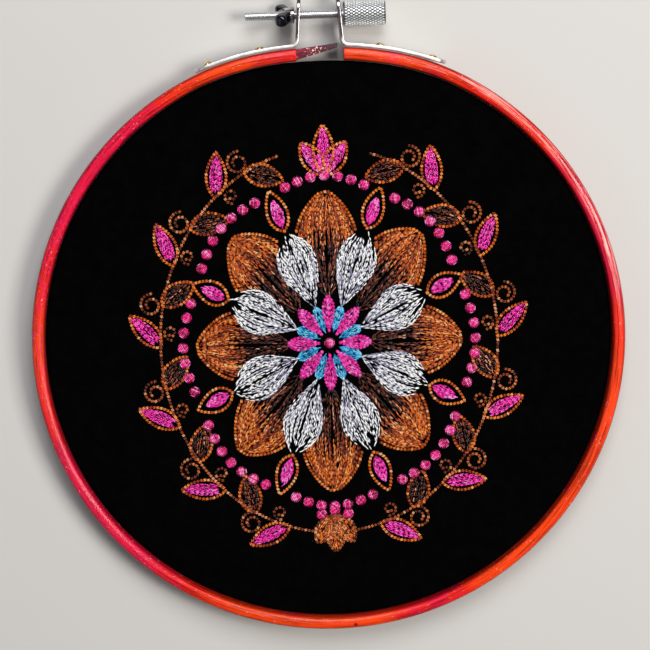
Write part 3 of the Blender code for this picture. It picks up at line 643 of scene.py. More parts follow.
tall = add_node(tree, 'ShaderNodeMath', {"operation": 'MULTIPLY'},
                {0: given["Thread height"], 1: 1.4}).outputs[0]
size = add_node(tree, 'ShaderNodeCombineXYZ', None, {0: length, 1: given["Thread width"], 2: tall}).outputs[0]
under = add_node(tree, 'GeometryNodeInstanceOnPoints', None,
                 {"Points": row, "Instance": add_thread(tree), "Scale": size}).outputs[0]
raised = add_node(tree, 'ShaderNodeMath', {"operation": 'MULTIPLY'},
                  {0: given["Thread height"], 1: 0.5}).outputs[0]
raising = add_node(tree, 'ShaderNodeCombineXYZ', None, {2: raised}).outputs[0]
over = add_node(tree, 'GeometryNodeTransform', None,
                {"Geometry": under, "Translation": raising, "Rotation": (0.0, 0.0, CROSSING)}).outputs[0]
dot = add_node(tree, 'GeometryNodeJoinGeometry')
for layer in (under, over):
    tree.links.new(layer, dot.inputs[0])
spin = add_node(tree, 'FunctionNodeRandomValue', {"data_type": 'FLOAT'},
                {2: 0.2, 3: 1.5, 8: given["Seed"]}).outputs[1]
spun = add_node(tree, 'FunctionNodeAxisAngleToRotation', None,
                {"Axis": (0.0, 0.0, 1.0), "Angle": spin}).outputs[0]
dots = add_node(tree, 'GeometryNodeInstanceOnPoints', None,
                {"Points": given["Geometry"], "Instance": dot.outputs[0], "Rotation": spun}).outputs[0]
real = add_node(tree, 'GeometryNodeRealizeInstances', None, {0: dots}).outputs[0]
island = add_node(tree, 'GeometryNodeInputMeshIsland').outputs[0]
tone = add_node(tree, 'FunctionNodeRandomValue', {"data_type": 'FLOAT'},
                {2: -0.05, 3: 1.10, 7: island, 8: given["Seed"]}).outputs[1]
toned = add_node(tree, 'GeometryNodeStoreNamedAttribute', {"data_type": 'FLOAT', "domain": 'POINT'},
                 {"Geometry": real, "Name": "tone", "Value": tone}).outputs[0]
smooth = add_node(tree, 'GeometryNodeSetShadeSmooth', None, {"Geometry": toned}).outputs[0]
dressed = add_node(tree, 'GeometryNodeSetMaterial', None,
                   {"Geometry": smooth, "Material": given["Thread"]}).outputs[0]
wire(tree, result, {0: dressed})


def rayon_thread(name, stops, shade=0.30):
    """Rayon thread: two shiny plies twisted together, coloured from shaded to lit by these stops, with
    painted shade at its ends and between its plies, as dark as the shade given.
    """
    made, tree, shader = new_material(name)
    tone = add_node(tree, 'ShaderNodeAttribute', {"attribute_name": "tone"}).outputs["Fac"]
    colour = add_node(tree, 'ShaderNodeValToRGB', {"stops": stops}, {"Fac": tone}).outputs[0]
    spot = add_node(tree, 'ShaderNodeAttribute', {"attribute_name": "thread_spot"}).outputs["Vector"]
    parts = add_node(tree, 'ShaderNodeSeparateXYZ', None, {0: spot}).outputs
    # A stitch is painted darker towards its two ends, as shade where it goes down through the cloth between
    # its neighbours.
    off_middle = add_node(tree, 'ShaderNodeMath', {"operation": 'ABSOLUTE'}, {0: parts["X"]}).outputs[0]
    ends = add_node(tree, 'ShaderNodeValToRGB', {"stops": ((0.26, 1.0), (0.48, shade / 3))},
                    {"Fac": off_middle}).outputs[0]
    # Plies really lie 0.3 mm apart along the thread. They are drawn 0.6 mm apart, because finer ones don't
    # show in the render.
    round_it = add_node(tree, 'ShaderNodeMath', {"operation": 'ARCTAN2'},
                        {0: parts["Z"], 1: parts["Y"]}).outputs[0]
    wound = add_node(tree, 'ShaderNodeMath', {"operation": 'MULTIPLY_ADD'},
                     {0: parts["X"], 1: 3 * math.pi, 2: round_it}).outputs[0]
    ply = add_node(tree, 'ShaderNodeMath', {"operation": 'MULTIPLY'}, {0: wound, 1: 2.0}).outputs[0]
    rope = add_node(tree, 'ShaderNodeMath', {"operation": 'SINE'}, {0: ply}).outputs[0]
    depth = add_node(tree, 'ShaderNodeMath', {"operation": 'MULTIPLY_ADD'},
                     {0: rope, 1: 0.5, 2: 0.5}).outputs[0]
    # The grooves between the plies are painted darker, as shade.
    ply_shade = add_node(tree, 'ShaderNodeValToRGB', {"stops": ((0.0, shade), (0.50, 1.0))},
                       {"Fac": depth}).outputs[0]
    end_shaded = add_node(tree, 'ShaderNodeMix', {"data_type": 'RGBA', "blend_type": 'MULTIPLY'},
                      {0: 1.0, 6: colour, 7: ends}).outputs[2]
    twisted = add_node(tree, 'ShaderNodeMix', {"data_type": 'RGBA', "blend_type": 'MULTIPLY'},
                       {0: 1.0, 6: end_shaded, 7: ply_shade}).outputs[2]
    relief = add_node(tree, 'ShaderNodeBump', None,
                      {"Strength": 0.5, "Distance": 0.00008, "Height": rope}).outputs[0]
    wire(tree, shader, {
        "Base Color": twisted, "Normal": relief, "Roughness": 0.28, "Specular IOR Level": 0.5})
    return made


def guide_object(name, lines):
    """Guide lines of (x, y, lift, tone, slant) points in millimetres as one mesh of edges over the cloth."""
    points, edges, tones, slants = [], [], [], []
    for guide in lines:
        start = len(points)
        for x, y, lift, tone, slant in guide:
            points.append((x * MM, CENTRE_Y + y * MM, CLOTH_FACE + lift * MM))
            tones.append(tone)
            slants.append(slant)
        edges += [(i, i + 1) for i in range(start, len(points) - 1)]
    mesh = bpy.data.meshes.new(name)
    mesh.from_pydata(points, edges, [])
    mesh.attributes.new("tone", 'FLOAT', 'POINT').data.foreach_set("value", tones)
    mesh.attributes.new("slant", 'FLOAT', 'POINT').data.foreach_set("value", slants)
    return in_scene(name, mesh)


def leaf(origin, heading, length, half, widest=0.5, blunt=0.8, bend=0.0, squeeze=(1.0, 1.0)):
    """A leaf or petal: where it starts, its heading in degrees clockwise from up, and its size."""
    return {"origin": origin, "heading": math.radians(heading), "length": length, "half": half,
            "power": math.log(0.5) / math.log(widest), "blunt": blunt, "bend": bend, "squeeze": squeeze}


def half_width(shape, along):
    """Half a leaf's width at a distance from its foot."""
    share = min(max(along / shape["length"], 0.0), 1.0)
    return shape["half"] * max(math.sin(math.pi * share ** shape["power"]), 0.0) ** shape["blunt"]


def leaf_spot(shape, along, across):
    """Where a point so far along a leaf and so far across it lies on the cloth."""
    sideways = across + shape["bend"] * (along / shape["length"]) ** 2
    ahead_x, ahead_y = math.sin(shape["heading"]), math.cos(shape["heading"])
    x = shape["origin"][0] + along * ahead_x + sideways * ahead_y
    y = shape["origin"][1] + along * ahead_y - sideways * ahead_x
    return x * shape["squeeze"][0], y * shape["squeeze"][1]


def within(shape, x, y, margin):
    """Whether a point on the cloth is on a straight leaf, or nearer to it than a margin."""
    from_x = x / shape["squeeze"][0] - shape["origin"][0]
    from_y = y / shape["squeeze"][1] - shape["origin"][1]
    ahead_x, ahead_y = math.sin(shape["heading"]), math.cos(shape["heading"])
    along, across = from_x * ahead_x + from_y * ahead_y, from_x * ahead_y - from_y * ahead_x
    if not -margin < along < shape["length"] + margin:
        return False
    return abs(across) < half_width(shape, along) + margin


def filled(shape, pitch, ragged, tone_of, keep=None, lift=0.0):
    """Guide lines that fill a leaf from its foot to its tip, fewer where it is narrow, with ragged ends."""
    lines = []
    count = max(1, round(shape["half"] / pitch))
    for number in range(-count, count + 1):
        share = (number + sewing.uniform(-LINE_JITTER, LINE_JITTER)) / (count + 0.3)
        needed = 0.0 if number % 4 == 0 else 0.35 if number % 2 == 0 else 0.62
        along = sewing.uniform(0.0, RAGGED_START)
        end = shape["length"] - sewing.uniform(0.0, ragged)
        streak = sewing.uniform(-LINE_STREAK, LINE_STREAK)
        run = []
        while along < end + 1.0:
            width = half_width(shape, along)
            x, y = leaf_spot(shape, along, share * width)
            stays = along < end and width >= needed * shape["half"]
            if stays and (keep is None or keep(along / shape["length"], share, x, y)):
                run.append((x, y, lift, tone_of(along / shape["length"], share) + streak, 0.0))
            else:
                if len(run) > 2:
                    lines.append(run)
                run = []
            along += GUIDE_STEP
        if len(run) > 2:
            lines.append(run)
    return lines


def edge_of(shape, out=0.0, start=0.0, end=1.0):
    """A leaf's outline as a path, from its foot up one side to the tip and down the other."""
    steps = max(8, int(shape["length"] / 0.9))
    shares = [start + (end - start) * i / steps for i in range(steps + 1)]
    places = [share * shape["length"] for share in shares]
    up = [leaf_spot(shape, along, half_width(shape, along) + out) for along in places]
    down = [leaf_spot(shape, along, -half_width(shape, along) - out) for along in places]
    return up + down[-2::-1]


def roped(path, tone):
    """A path as a guide line for a rope: paired stitches that all slant one way, above the fill."""
    return [[(x, y, ROPE_LIFT, tone, ROPE_SLANT) for x, y in path]]


def spiral(centre, radius, start, turns, hand):
    """A curling tendril that winds in to its centre, as a path."""
    count = int(turns * CURL_POINTS)
    path = []
    for number in range(count + 1):
        share = number / count
        angle = math.radians(start) + hand * share * turns * 2 * math.pi
        reach = radius * (1.0 - CURL_CLOSING * share)
        path.append((centre[0] + reach * math.sin(angle), centre[1] + reach * math.cos(angle)))
    return path


# The flower, from the outside in: eight rust petals with amber ends and edges, eight white ones over them,
# magenta and blue drops and a magenta dot. Thin slits that are left open between the stitches draw the veins
# in bare cloth, and the colours meet in ragged edges.
OVAL = (0.95, 1.09)
RUST_FOOT, RUST_TIP, RUST_HALF = 14.0, 47.5, 9.9
WHITE_FOOT, WHITE_TIP, WHITE_HALF = 12.0, 38.0, 6.9


def spoke(degrees, foot, tip, half, widest, blunt):
    """A petal that points straight out from the middle of the flower."""
    turn = math.radians(degrees)
    origin = (foot * math.sin(turn), foot * math.cos(turn))
    return leaf(origin, degrees, tip - foot, half, widest, blunt, 0.0, OVAL)


def veined(along, share, x, y):
    """True off the veins: an open middle line, side veins that leave it at a slant and slits beside it."""
    if abs(share) < 0.05 and along < 0.75:
        return False
    if math.sin(26.0 * share + 4.0 * along + 1.0) > 0.93:
        return False
    return math.sin(30.0 * (along - 0.45 * abs(share))) < 0.80 + 0.35 * sewing.random()


def ragged_foot(along, share, x, y):
    """True beyond a foot whose line of stitches ends unevenly."""
    return along > 0.12 + 0.12 * sewing.random()


white_petals = [spoke(22.5 + 45 * i, WHITE_FOOT, WHITE_TIP, WHITE_HALF, 0.6, 0.75) for i in range(8)]
rust_petals = [spoke(45 * i, RUST_FOOT, RUST_TIP, RUST_HALF, 0.55, 0.75) for i in range(8)]
rust_fill, white_fill, amber_fill, magenta_fill, blue_fill = [], [], [], [], []
rust_lines, amber_lines, magenta_lines, dot_spots = [], [], [], []


def clear_runs(path, others, margin):
    """The runs of a path that keep clear of some other petals."""
    runs, run = [], []
    for x, y in path:
        if any(within(other, x, y, margin) for other in others):
            runs.append(run)
            run = []
        else:
            run.append((x, y))
    return [run for run in runs + [run] if len(run) > 2]


def rust_ends(share):
    """How far out a rust petal's brown reaches, different from one line to the next."""
    return 0.66 - 0.20 * abs(share) ** 2 + 0.10 * math.sin(41.0 * share)


def browned(along, share, x, y):
    """Whether a spot on a rust petal is brown: within its ragged line and off veins and white petals."""
    return along < rust_ends(share) and veined(along, share, x, y) and not any(
        within(p, x, y, 0.1) for p in white_petals)


def ambered(along, share, x, y):
    """Whether a spot on a rust petal is amber: beyond its ragged line and off the white petals."""
    return along > rust_ends(share) - 0.05 and not any(within(p, x, y, 0.3) for p in white_petals)


def rust_tone(along, share):
    """The brown stitches' tone, lighter towards the tip and streaked along the petal."""
    return 0.36 + 0.30 * along + 0.14 * math.sin(17.0 * share + 9.0 * along)


def amber_tone(along, share):
    """The amber stitches' tone, streaked along the petal."""
    return 0.42 + 0.22 * math.sin(13.0 * share + 6.0 * along)


def white_tone(along, share):
    """The white stitches' tone, grey at the petal's foot and white at its tip."""
    return 0.10 + 0.75 * along + 0.22 * math.sin(15.0 * share)


for petal in rust_petals:
    rust_fill += filled(petal, 0.42, 5.0, rust_tone, browned)
    amber_fill += filled(petal, 0.40, 2.5, amber_tone, ambered, 0.04)
for petal in white_petals:
    white_fill += filled(petal, 0.40, 8.0, white_tone, veined, 0.10)
for petal in rust_petals:
    for path in clear_runs(edge_of(petal, 0.9, 0.30, 1.0), white_petals, 0.9):
        amber_lines += roped(path, 0.55)
for i in range(8):
    flame = spoke(22.5 + 45 * i, 40.0, 49.0, 2.0, 0.45, 0.8)
    magenta_fill += filled(flame, 0.36, 1.5, lambda a, c: 0.4 + 0.4 * a, None, 0.05)
    drop = spoke(22.5 + 45 * i, 38.5, 52.0, 3.6, 0.42, 0.8)
    amber_lines += roped(edge_of(drop), 0.6)
    blue_petal = spoke(22.5 + 45 * i, 3.8, 12.4, 2.1, 0.6, 0.8)
    blue_fill += filled(blue_petal, 0.36, 0.6, lambda a, c: 0.35 + 0.4 * a, None, 0.05)
    inner_petal = spoke(45 * i, 4.0, 15.0, 1.9, 0.6, 0.8)
    magenta_fill += filled(inner_petal | {"half": 1.3}, 0.36, 1.5, lambda a, c: 0.2 + 0.6 * a, None, 0.05)
    magenta_lines += roped(edge_of(inner_petal), 0.5)
for i in range(8):
    for k in range(-3, 4):
        degrees = 45 * i + 5.3 * k
        reach = 51.6 + 0.9 * math.cos(math.radians(degrees * 8))
        turn = math.radians(degrees)
        dot_spots.append((reach * math.sin(turn) * OVAL[0], reach * math.cos(turn) * OVAL[1]))
dot_spots += [(0.0, 0.0)]

# The wreath: two leafy stems in rope stitch that rise from the foot to the head of the oval, with leaves that
# are filled with magenta or rust in turn and curled tendrils between them, and a spray at each end.
STEM_WIDE, STEM_TALL = 57.5, 66.5


def stem_spot(degrees, hand):
    """A point of the right or left stem, so many degrees down from the oval's head."""
    return (hand * STEM_WIDE * math.sin(math.radians(degrees)), STEM_TALL * math.cos(math.radians(degrees)))


for hand in (1.0, -1.0):
    stem = [stem_spot(172.0 - 2.0 * k, hand) for k in range(79)]
    rust_lines += roped(stem, 0.5)
    for number in range(12):
        degrees = 164.0 - 12.4 * number
        x, y = stem_spot(degrees, hand)
        near = stem_spot(degrees - 1.0, hand)
        heading = math.degrees(math.atan2(near[0] - x, near[1] - y))
        outward = number % 2 == 0
        side_of = hand if outward else -hand
        size = 15.0 if outward else 13.0
        blade = leaf((x, y), heading + 38.0 * side_of, size, 3.4, 0.45, 0.8, 1.2 * side_of)
        if outward:
            amber_lines += roped(edge_of(blade), 0.5)
            magenta_fill += filled(blade | {"half": 2.1}, 0.36, 3.0, lambda a, c: 0.45, ragged_foot)
            curl = stem_spot(degrees - 12.0, hand)
            rust_lines += roped(spiral((curl[0] * 1.07, curl[1] * 1.06), 3.9, 0.0, 1.35, hand), 0.45)
            low = stem_spot(degrees - 4.5, hand)
            rust_lines += roped(spiral((low[0] * 0.94, low[1] * 0.945), 2.5, 180.0, 1.1, -hand), 0.40)
        else:
            rust_fill += filled(blade, 0.42, 2.5, lambda a, c: 0.6 - 0.3 * abs(c), veined)
            amber_lines += roped(edge_of(blade, 0.3), 0.4)
for heading in (-34.0, 0.0, 34.0):
    bud = leaf((0.0, 57.0), heading, 17.0 if heading == 0 else 13.5, 3.4, 0.5, 0.8)
    magenta_fill += filled(bud | {"half": 2.0}, 0.36, 2.0, lambda a, c: 0.5, ragged_foot, 0.05)
    amber_lines += roped(edge_of(bud), 0.6)
    foot = leaf((0.0, -60.5), 180.0 + heading, 13.0 if heading == 0 else 11.5, 3.2, 0.5, 0.8)
    amber_fill += filled(foot, 0.40, 2.0, lambda a, c: 0.5)
    rust_lines += roped(edge_of(foot, 0.2), 0.5)
dot_spots += [(0.0, -58.5), (4.6, -60.0), (-4.6, -60.0)]

rust_thread = rayon_thread("rust_rayon_thread", (
    (0.0, "#0c0201"), (0.35, "#360b02"), (0.65, "#6a2008"), (0.88, "#b86038"), (1.0, "#f0b090")))
copper_thread = rayon_thread("copper_rayon_thread", (
    (0.0, "#280b04"), (0.35, "#84340e"), (0.65, "#c46428"), (0.88, "#e8a070"), (1.0, "#ffd8b8")))
amber_thread = rayon_thread("amber_rayon_thread", (
    (0.0, "#6a1800"), (0.4, "#cc5604"), (0.75, "#ff8a28"), (1.0, "#ffc080")))
white_thread = rayon_thread("white_rayon_thread", (
    (0.0, "#8c8aa2"), (0.3, "#e2e0ee"), (0.55, "#ffffff"), (1.0, "#ffffff")), 0.62)
magenta_thread = rayon_thread("magenta_rayon_thread", (
    (0.0, "#a0006a"), (0.4, "#fc10a8"), (0.75, "#ff48c0"), (1.0, "#ff98e0")), 0.40)
pink_thread = rayon_thread("cerise_rayon_thread", (
    (0.0, "#84003a"), (0.4, "#f0107c"), (0.75, "#ff3ca4"), (1.0, "#ff94cc")), 0.45)
blue_thread = rayon_thread("sky_blue_rayon_thread", ((0.0, "#0468a0"), (0.5, "#1cb0f0"), (1.0, "#90e4ff")))

THREAD = 0.40 * MM
fur = {"Stitch length": 1.9 * MM, "Overlap": 0.82, "Thread width": THREAD, "Thread height": 0.30 * MM,
       "Wander": 0.22, "Side shift": 0.10 * MM, "Length spread": 0.30, "Gaps": 0.03, "Paired": False,
       "Seed": 3}
rope = {"Stitch length": 1.40 * MM, "Overlap": 0.86, "Thread width": 0.48 * MM, "Thread height": 0.48 * MM,
        "Wander": 0.16, "Side shift": 0.05 * MM, "Length spread": 0.12, "Gaps": 0.0, "Paired": True,
        "Seed": 14}
for name, lines, thread, slot, way in (
    ("rust_fill", rust_fill, rust_thread, "thread_rust", fur | {"Gaps": 0.14}),
    ("white_fill", white_fill, white_thread, "thread_white", fur),
    ("amber_fill", amber_fill, amber_thread, "thread_amber", fur),
    ("magenta_fill", magenta_fill, magenta_thread, "thread_magenta", fur),
    ("blue_fill", blue_fill, blue_thread, "thread_blue", fur),
    ("rust_outlines", rust_lines, copper_thread, "thread_rust", rope),
    ("amber_outlines", amber_lines, amber_thread, "thread_amber", rope),
    ("magenta_outlines", magenta_lines, magenta_thread, "thread_magenta", rope),
):
    guides = guide_object(name + "_guides", lines)
    grown(name, guides, sewn_lines, way | {"Thread": thread}, "hoop")
spots = bpy.data.meshes.new("dot_spots")
spots.from_pydata([(x * MM, CENTRE_Y + y * MM, CLOTH_FACE + 0.1 * MM) for x, y in dot_spots], [], [])
grown("magenta_dots", in_scene("dot_spots", spots), satin_dots, {
    "Dot radius": 1.85 * MM, "Thread width": 0.44 * MM, "Thread height": 0.34 * MM, "Thread": pink_thread,
    "Seed": 6}, "hoop")
# Behind the cloth the pale bobbin thread ties the stitches down. It is matt and thin, in longer stitches.
bobbin, tree, shader = new_material("grey_polyester_bobbin_thread")
tone = add_node(tree, 'ShaderNodeAttribute', {"attribute_name": "tone"}).outputs["Fac"]
grey = add_node(tree, 'ShaderNodeValToRGB', {"stops": ((0.0, "#77757a"), (1.0, "#c9c7c9"))},
                {"Fac": tone}).outputs[0]
wire(tree, shader, {"Base Color": grey, "Roughness": 0.6, "Specular IOR Level": 0.3})
every_fill = rust_fill + white_fill + amber_fill + magenta_fill + blue_fill
tied = [[(-x, y, 0.0, 0.5, -slant) for x, y, _, _, slant in line]
        for line in every_fill[::2] + rust_lines + amber_lines]
backs = grown("bobbin_thread_backs", guide_object("back_guides", tied), sewn_lines, {
    "Stitch length": 3.4 * MM, "Overlap": 0.98, "Thread width": 0.30 * MM, "Thread height": 0.24 * MM,
    "Wander": 0.15, "Side shift": 0.10 * MM, "Length spread": 0.2, "Gaps": 0.05, "Paired": False,
    "Thread": bobbin, "Seed": 25}, "hoop")
turn_over = Matrix.Translation((0.0, 0.0, CLOTH_FACE - CLOTH_THICKNESS / 2))
backs.data.transform(turn_over @ Matrix.Rotation(math.pi, 4, 'Y') @ turn_over.inverted())

# Brackets: two strips of nickel-plated steel, stamped with rounded ends and bent out as lugs beside the gap.
# Each is pinned along the outer ring, and the screw passes through a hole in each lug.
ROD_Y = 0.11045
ROD_Z = (RIM_TOP + RIM_BASE) / 2
STRIP_THICKNESS = 0.0012
STRIP_HEIGHT = 0.0086
STRIP_GAP = 0.0003
STRIP_RADIUS = RIM_RADIUS + STRIP_GAP + STRIP_THICKNESS / 2
STRIP_ANGLE = math.radians(24.2)
STRIP_EASING = 0.0003
BEND_RADIUS = 0.0022
LEAST_EASING = 0.00004
LUG_LEAN = math.radians(4.5)
LUG_X = 0.00685
LUG_END = 0.1165
END_BLUNTNESS = math.radians(15.0)
TIP_LIFT_LENGTH = 0.008
ROD_HOLE_RADIUS = 0.0020

# Nickel plate on steel strip: softly bright, clouded by handling and specked with small dark pits.
nickel, tree, shader = new_material("nickel_plated_steel_strip")
place = add_node(tree, 'ShaderNodeTexCoord').outputs["Object"]
smudge = add_node(tree, 'ShaderNodeTexNoise', None,
                  {"Vector": place, "Scale": 240.0, "Detail": 3.0}).outputs["Fac"]
pits = add_node(tree, 'ShaderNodeTexNoise', None,
                {"Vector": place, "Scale": 2400.0, "Detail": 2.0}).outputs["Fac"]
tint = add_node(tree, 'ShaderNodeValToRGB', {"stops": ((0.3, "#cfcac4"), (0.6, "#f6f3f0"))},
                {"Fac": smudge}).outputs[0]
pitted = add_node(tree, 'ShaderNodeValToRGB', {"stops": ((0.30, 0.7), (0.36, 0.0))}, {"Fac": pits}).outputs[0]
wear_and_highlight = add_node(tree, 'ShaderNodeMix', {"data_type": 'RGBA'},
                {0: pitted, 6: tint, 7: linear("#4c4640")}).outputs[2]
# The strips' edges are rubbed rough and bright on the ring. The lugs beyond it are smooth, and painted a
# darker grey as shade.
up_lug = add_node(tree, 'ShaderNodeSeparateXYZ', None, {0: place}).outputs["Y"]
rubbed_not_shaded = add_node(tree, 'ShaderNodeMapRange', None, {
    "Value": up_lug, "From Min": CENTRE_Y + 0.1035, "From Max": CENTRE_Y + 0.1015, "To Min": 0.0,
    "To Max": 1.0}).outputs[0]
toned = add_node(tree, 'ShaderNodeMix', {"data_type": 'RGBA'},
                 {0: rubbed_not_shaded, 6: linear("#9c9498"), 7: wear_and_highlight}).outputs[2]
rough = add_node(tree, 'ShaderNodeMath', {"operation": 'MULTIPLY_ADD'},
                 {0: rubbed_not_shaded, 1: 0.20, 2: 0.18}).outputs[0]
relief = add_node(tree, 'ShaderNodeBump', None,
                  {"Strength": 0.2, "Distance": 0.00004, "Height": pits}).outputs[0]
wire(tree, shader, {"Base Color": toned, "Metallic": 1.0, "Roughness": rough, "Normal": relief})


def drawn_point(radius, angle):
    """A point on the rim about the rings' centre, as a vector."""
    x, y = drawn_in(np.float64(radius), np.float64(angle))
    return Vector((float(x), float(y) - CENTRE_Y))


def bracket_line(lift):
    """A right-hand bracket's middle line as a function of the way from its tip, and its three lengths."""
    lug_way = Vector((-math.sin(LUG_LEAN), math.cos(LUG_LEAN)))
    lug_side = Vector((lug_way.y, -lug_way.x))
    foot_y = STRIP_RADIUS - DRAW_IN + BEND_RADIUS
    foot_x = LUG_X + (ROD_Y - foot_y) * math.tan(LUG_LEAN)
    bend_angle = math.asin((foot_x + BEND_RADIUS * lug_side.x) / foot_y)
    outwards = Vector((math.sin(bend_angle), math.cos(bend_angle)))
    bend_centre = drawn_point(STRIP_RADIUS, bend_angle) + outwards * BEND_RADIUS
    bend = math.pi / 2 - bend_angle - LUG_LEAN
    lug_start = bend_centre - lug_side * BEND_RADIUS
    strip = STRIP_RADIUS * (STRIP_ANGLE - bend_angle)
    curved = BEND_RADIUS * bend

    def spot(way):
        if way < strip:
            raised = lift * max(0.0, 1.0 - way / TIP_LIFT_LENGTH) ** 2
            return drawn_point(STRIP_RADIUS + raised, STRIP_ANGLE - way / STRIP_RADIUS)
        if way < strip + curved:
            bent = (way - strip) / BEND_RADIUS
            return bend_centre + Matrix.Rotation(-bent, 2) @ (-outwards * BEND_RADIUS)
        return lug_start + lug_way * (way - strip - curved)

    return spot, (strip, curved, (LUG_END - lug_start.y) / lug_way.y)


def strip_half(way, total):
    """Half the strip's height, less at its two rounded ends."""
    radius = STRIP_HEIGHT / 2
    inside = min(way, total - way) + radius * (1.0 - math.cos(END_BLUNTNESS))
    return radius if inside >= radius else math.sqrt(radius ** 2 - (radius - inside) ** 2)


def kept_mesh(obj, crease):
    """Apply an object's modifiers for good, with edges sharper than the crease left sharp."""
    graph = bpy.context.evaluated_depsgraph_get()
    mesh = bpy.data.meshes.new_from_object(obj.evaluated_get(graph))
    obj.modifiers.clear()
    obj.data = mesh
    mesh.shade_smooth()
    mesh.set_sharp_from_angle(angle=math.radians(crease))
    return obj


def bored(obj, radius, tools=()):
    """Bore a hole for the screw through an object, after joining any other shapes to it."""
    borer_mesh = bpy.data.meshes.new("borer")
    shape = bmesh.new()
    bmesh.ops.create_cone(shape, cap_ends=True, segments=48, radius1=radius, radius2=radius, depth=0.04)
    bmesh.ops.rotate(shape, matrix=Matrix.Rotation(math.pi / 2, 3, 'Y'), verts=shape.verts)
    bmesh.ops.translate(shape, vec=(0.0, CENTRE_Y + ROD_Y, ROD_Z), verts=shape.verts)
    shape.to_mesh(borer_mesh)
    shape.free()
    borer = in_scene("borer", borer_mesh)
    for tool, operation in [(tool, 'UNION') for tool in tools] + [(borer, 'DIFFERENCE')]:
        modifier = obj.modifiers.new(tool.name, 'BOOLEAN')
        modifier.operation = operation
        modifier.object = tool
    kept_mesh(obj, 32.0)
    for tool in [borer, *tools]:
        bpy.data.objects.remove(tool)
    return obj


for side_name, hand, lift in (("left", -1.0, 0.0001), ("right", 1.0, 0.0005)):
    spot, (strip, curved, lug) = bracket_line(lift)
    total = strip + curved + lug
    radius = STRIP_HEIGHT / 2
    rounds = np.linspace(END_BLUNTNESS, math.pi / 2, 14)[1:]
    ends = [(float(radius * (math.cos(END_BLUNTNESS) - math.cos(t))), 0.0) for t in rounds]
    ends = eased_end(STRIP_EASING) + [pair for pair in ends if pair[0] > STRIP_EASING * 1.2]
    stations = list(ends)
    stations += [(float(w), 0.0) for w in np.linspace(ends[-1][0], strip, 40)[1:-1]]
    stations += [(float(w), 0.0) for w in np.linspace(strip, strip + curved, 16)]
    stations += [(total - way, less) for way, less in reversed(ends)]
    points = []
    corner_turns = [math.radians(22.5 * k) for k in range(5)]
    for way, less in stations:
        ahead = (spot(min(way + 1e-5, total)) - spot(max(way - 1e-5, 0.0))).normalized()
        outward = Vector((-ahead.y, ahead.x))
        half_high, half_thick = strip_half(way, total) - less, STRIP_THICKNESS / 2 - less
        round_edge = max(STRIP_EASING - less, LEAST_EASING)
        for sign_out, sign_up, first in ((1, 1, 0.0), (-1, 1, 90.0), (-1, -1, 180.0), (1, -1, 270.0)):
            for turn in corner_turns:
                angle = turn + math.radians(first)
                out = sign_out * (half_thick - round_edge) + round_edge * math.cos(angle)
                up = sign_up * (half_high - round_edge) + round_edge * math.sin(angle)
                x, y = spot(way) + outward * out
                points.append((hand * x, CENTRE_Y + y, ROD_Z + up))
    faces = tube_faces(len(stations), 4 * len(corner_turns), "capped")
    bracket = bored(mesh_piece("plated_bracket_" + side_name, points, faces, nickel), ROD_HOLE_RADIUS)
    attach(bracket, "hoop")
    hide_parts("bracket_" + side_name)

# Pins: four brass pins with wide, low round heads, driven through the strips into the edge of the ring.
PIN_ANGLES = (11.5, 21.6)
PIN_HEAD_RADIUS = 0.0016
PIN_HEAD_HEIGHT = 0.0009
brass, tree, shader = new_material("plain_brass_pin")
place = add_node(tree, 'ShaderNodeTexCoord').outputs["Object"]
dull = add_node(tree, 'ShaderNodeTexNoise', None,
                {"Vector": place, "Scale": 900.0, "Detail": 2.0}).outputs["Fac"]
tint = add_node(tree, 'ShaderNodeValToRGB', {"stops": ((0.35, "#a8802c"), (0.6, "#fae0a0"))},
                {"Fac": dull}).outputs[0]
rough = add_node(tree, 'ShaderNodeMath', {"operation": 'MULTIPLY_ADD'}, {0: dull, 1: 0.3, 2: 0.12}).outputs[0]
wire(tree, shader, {"Base Color": tint, "Metallic": 1.0, "Roughness": rough})
pin_heads, given, result = new_tree("pin_heads", {
    "Head radius": 'NodeSocketFloat', "Head height": 'NodeSocketFloat', "Metal": 'NodeSocketMaterial'})
ball = add_node(pin_heads, 'GeometryNodeMeshUVSphere', None,
                {"Segments": 24, "Rings": 14, "Radius": 1.0}).outputs[0]
out_way = add_node(pin_heads, 'GeometryNodeInputNamedAttribute', {"data_type": 'FLOAT_VECTOR'},
                   {"Name": "outward"}).outputs[0]
facing = add_node(pin_heads, 'FunctionNodeAlignRotationToVector', {"axis": 'Z'},
                  {"Vector": out_way}).outputs[0]
size = add_node(pin_heads, 'ShaderNodeCombineXYZ', None,
                {0: given["Head radius"], 1: given["Head radius"], 2: given["Head height"]}).outputs[0]
placed = add_node(pin_heads, 'GeometryNodeInstanceOnPoints', None, {
    "Points": given["Geometry"], "Instance": ball, "Rotation": facing, "Scale": size}).outputs[0]
real = add_node(pin_heads, 'GeometryNodeRealizeInstances', None, {0: placed}).outputs[0]
smooth = add_node(pin_heads, 'GeometryNodeSetShadeSmooth', None, {"Geometry": real}).outputs[0]
dressed = add_node(pin_heads, 'GeometryNodeSetMaterial', None,
                   {"Geometry": smooth, "Material": given["Metal"]})
wire(pin_heads, result, {0: dressed.outputs[0]})
heads, ways = [], []
for angle in [hand * math.radians(a) for hand in (-1.0, 1.0) for a in PIN_ANGLES]:
    x, y = drawn_point(RIM_RADIUS + STRIP_GAP + STRIP_THICKNESS, angle)
    heads.append((x, y + CENTRE_Y, ROD_Z))
    ways += [math.sin(angle), math.cos(angle), 0.0]
mesh = bpy.data.meshes.new("pin_spots")
mesh.from_pydata(heads, [], [])
mesh.attributes.new("outward", 'FLOAT_VECTOR', 'POINT').data.foreach_set("vector", ways)
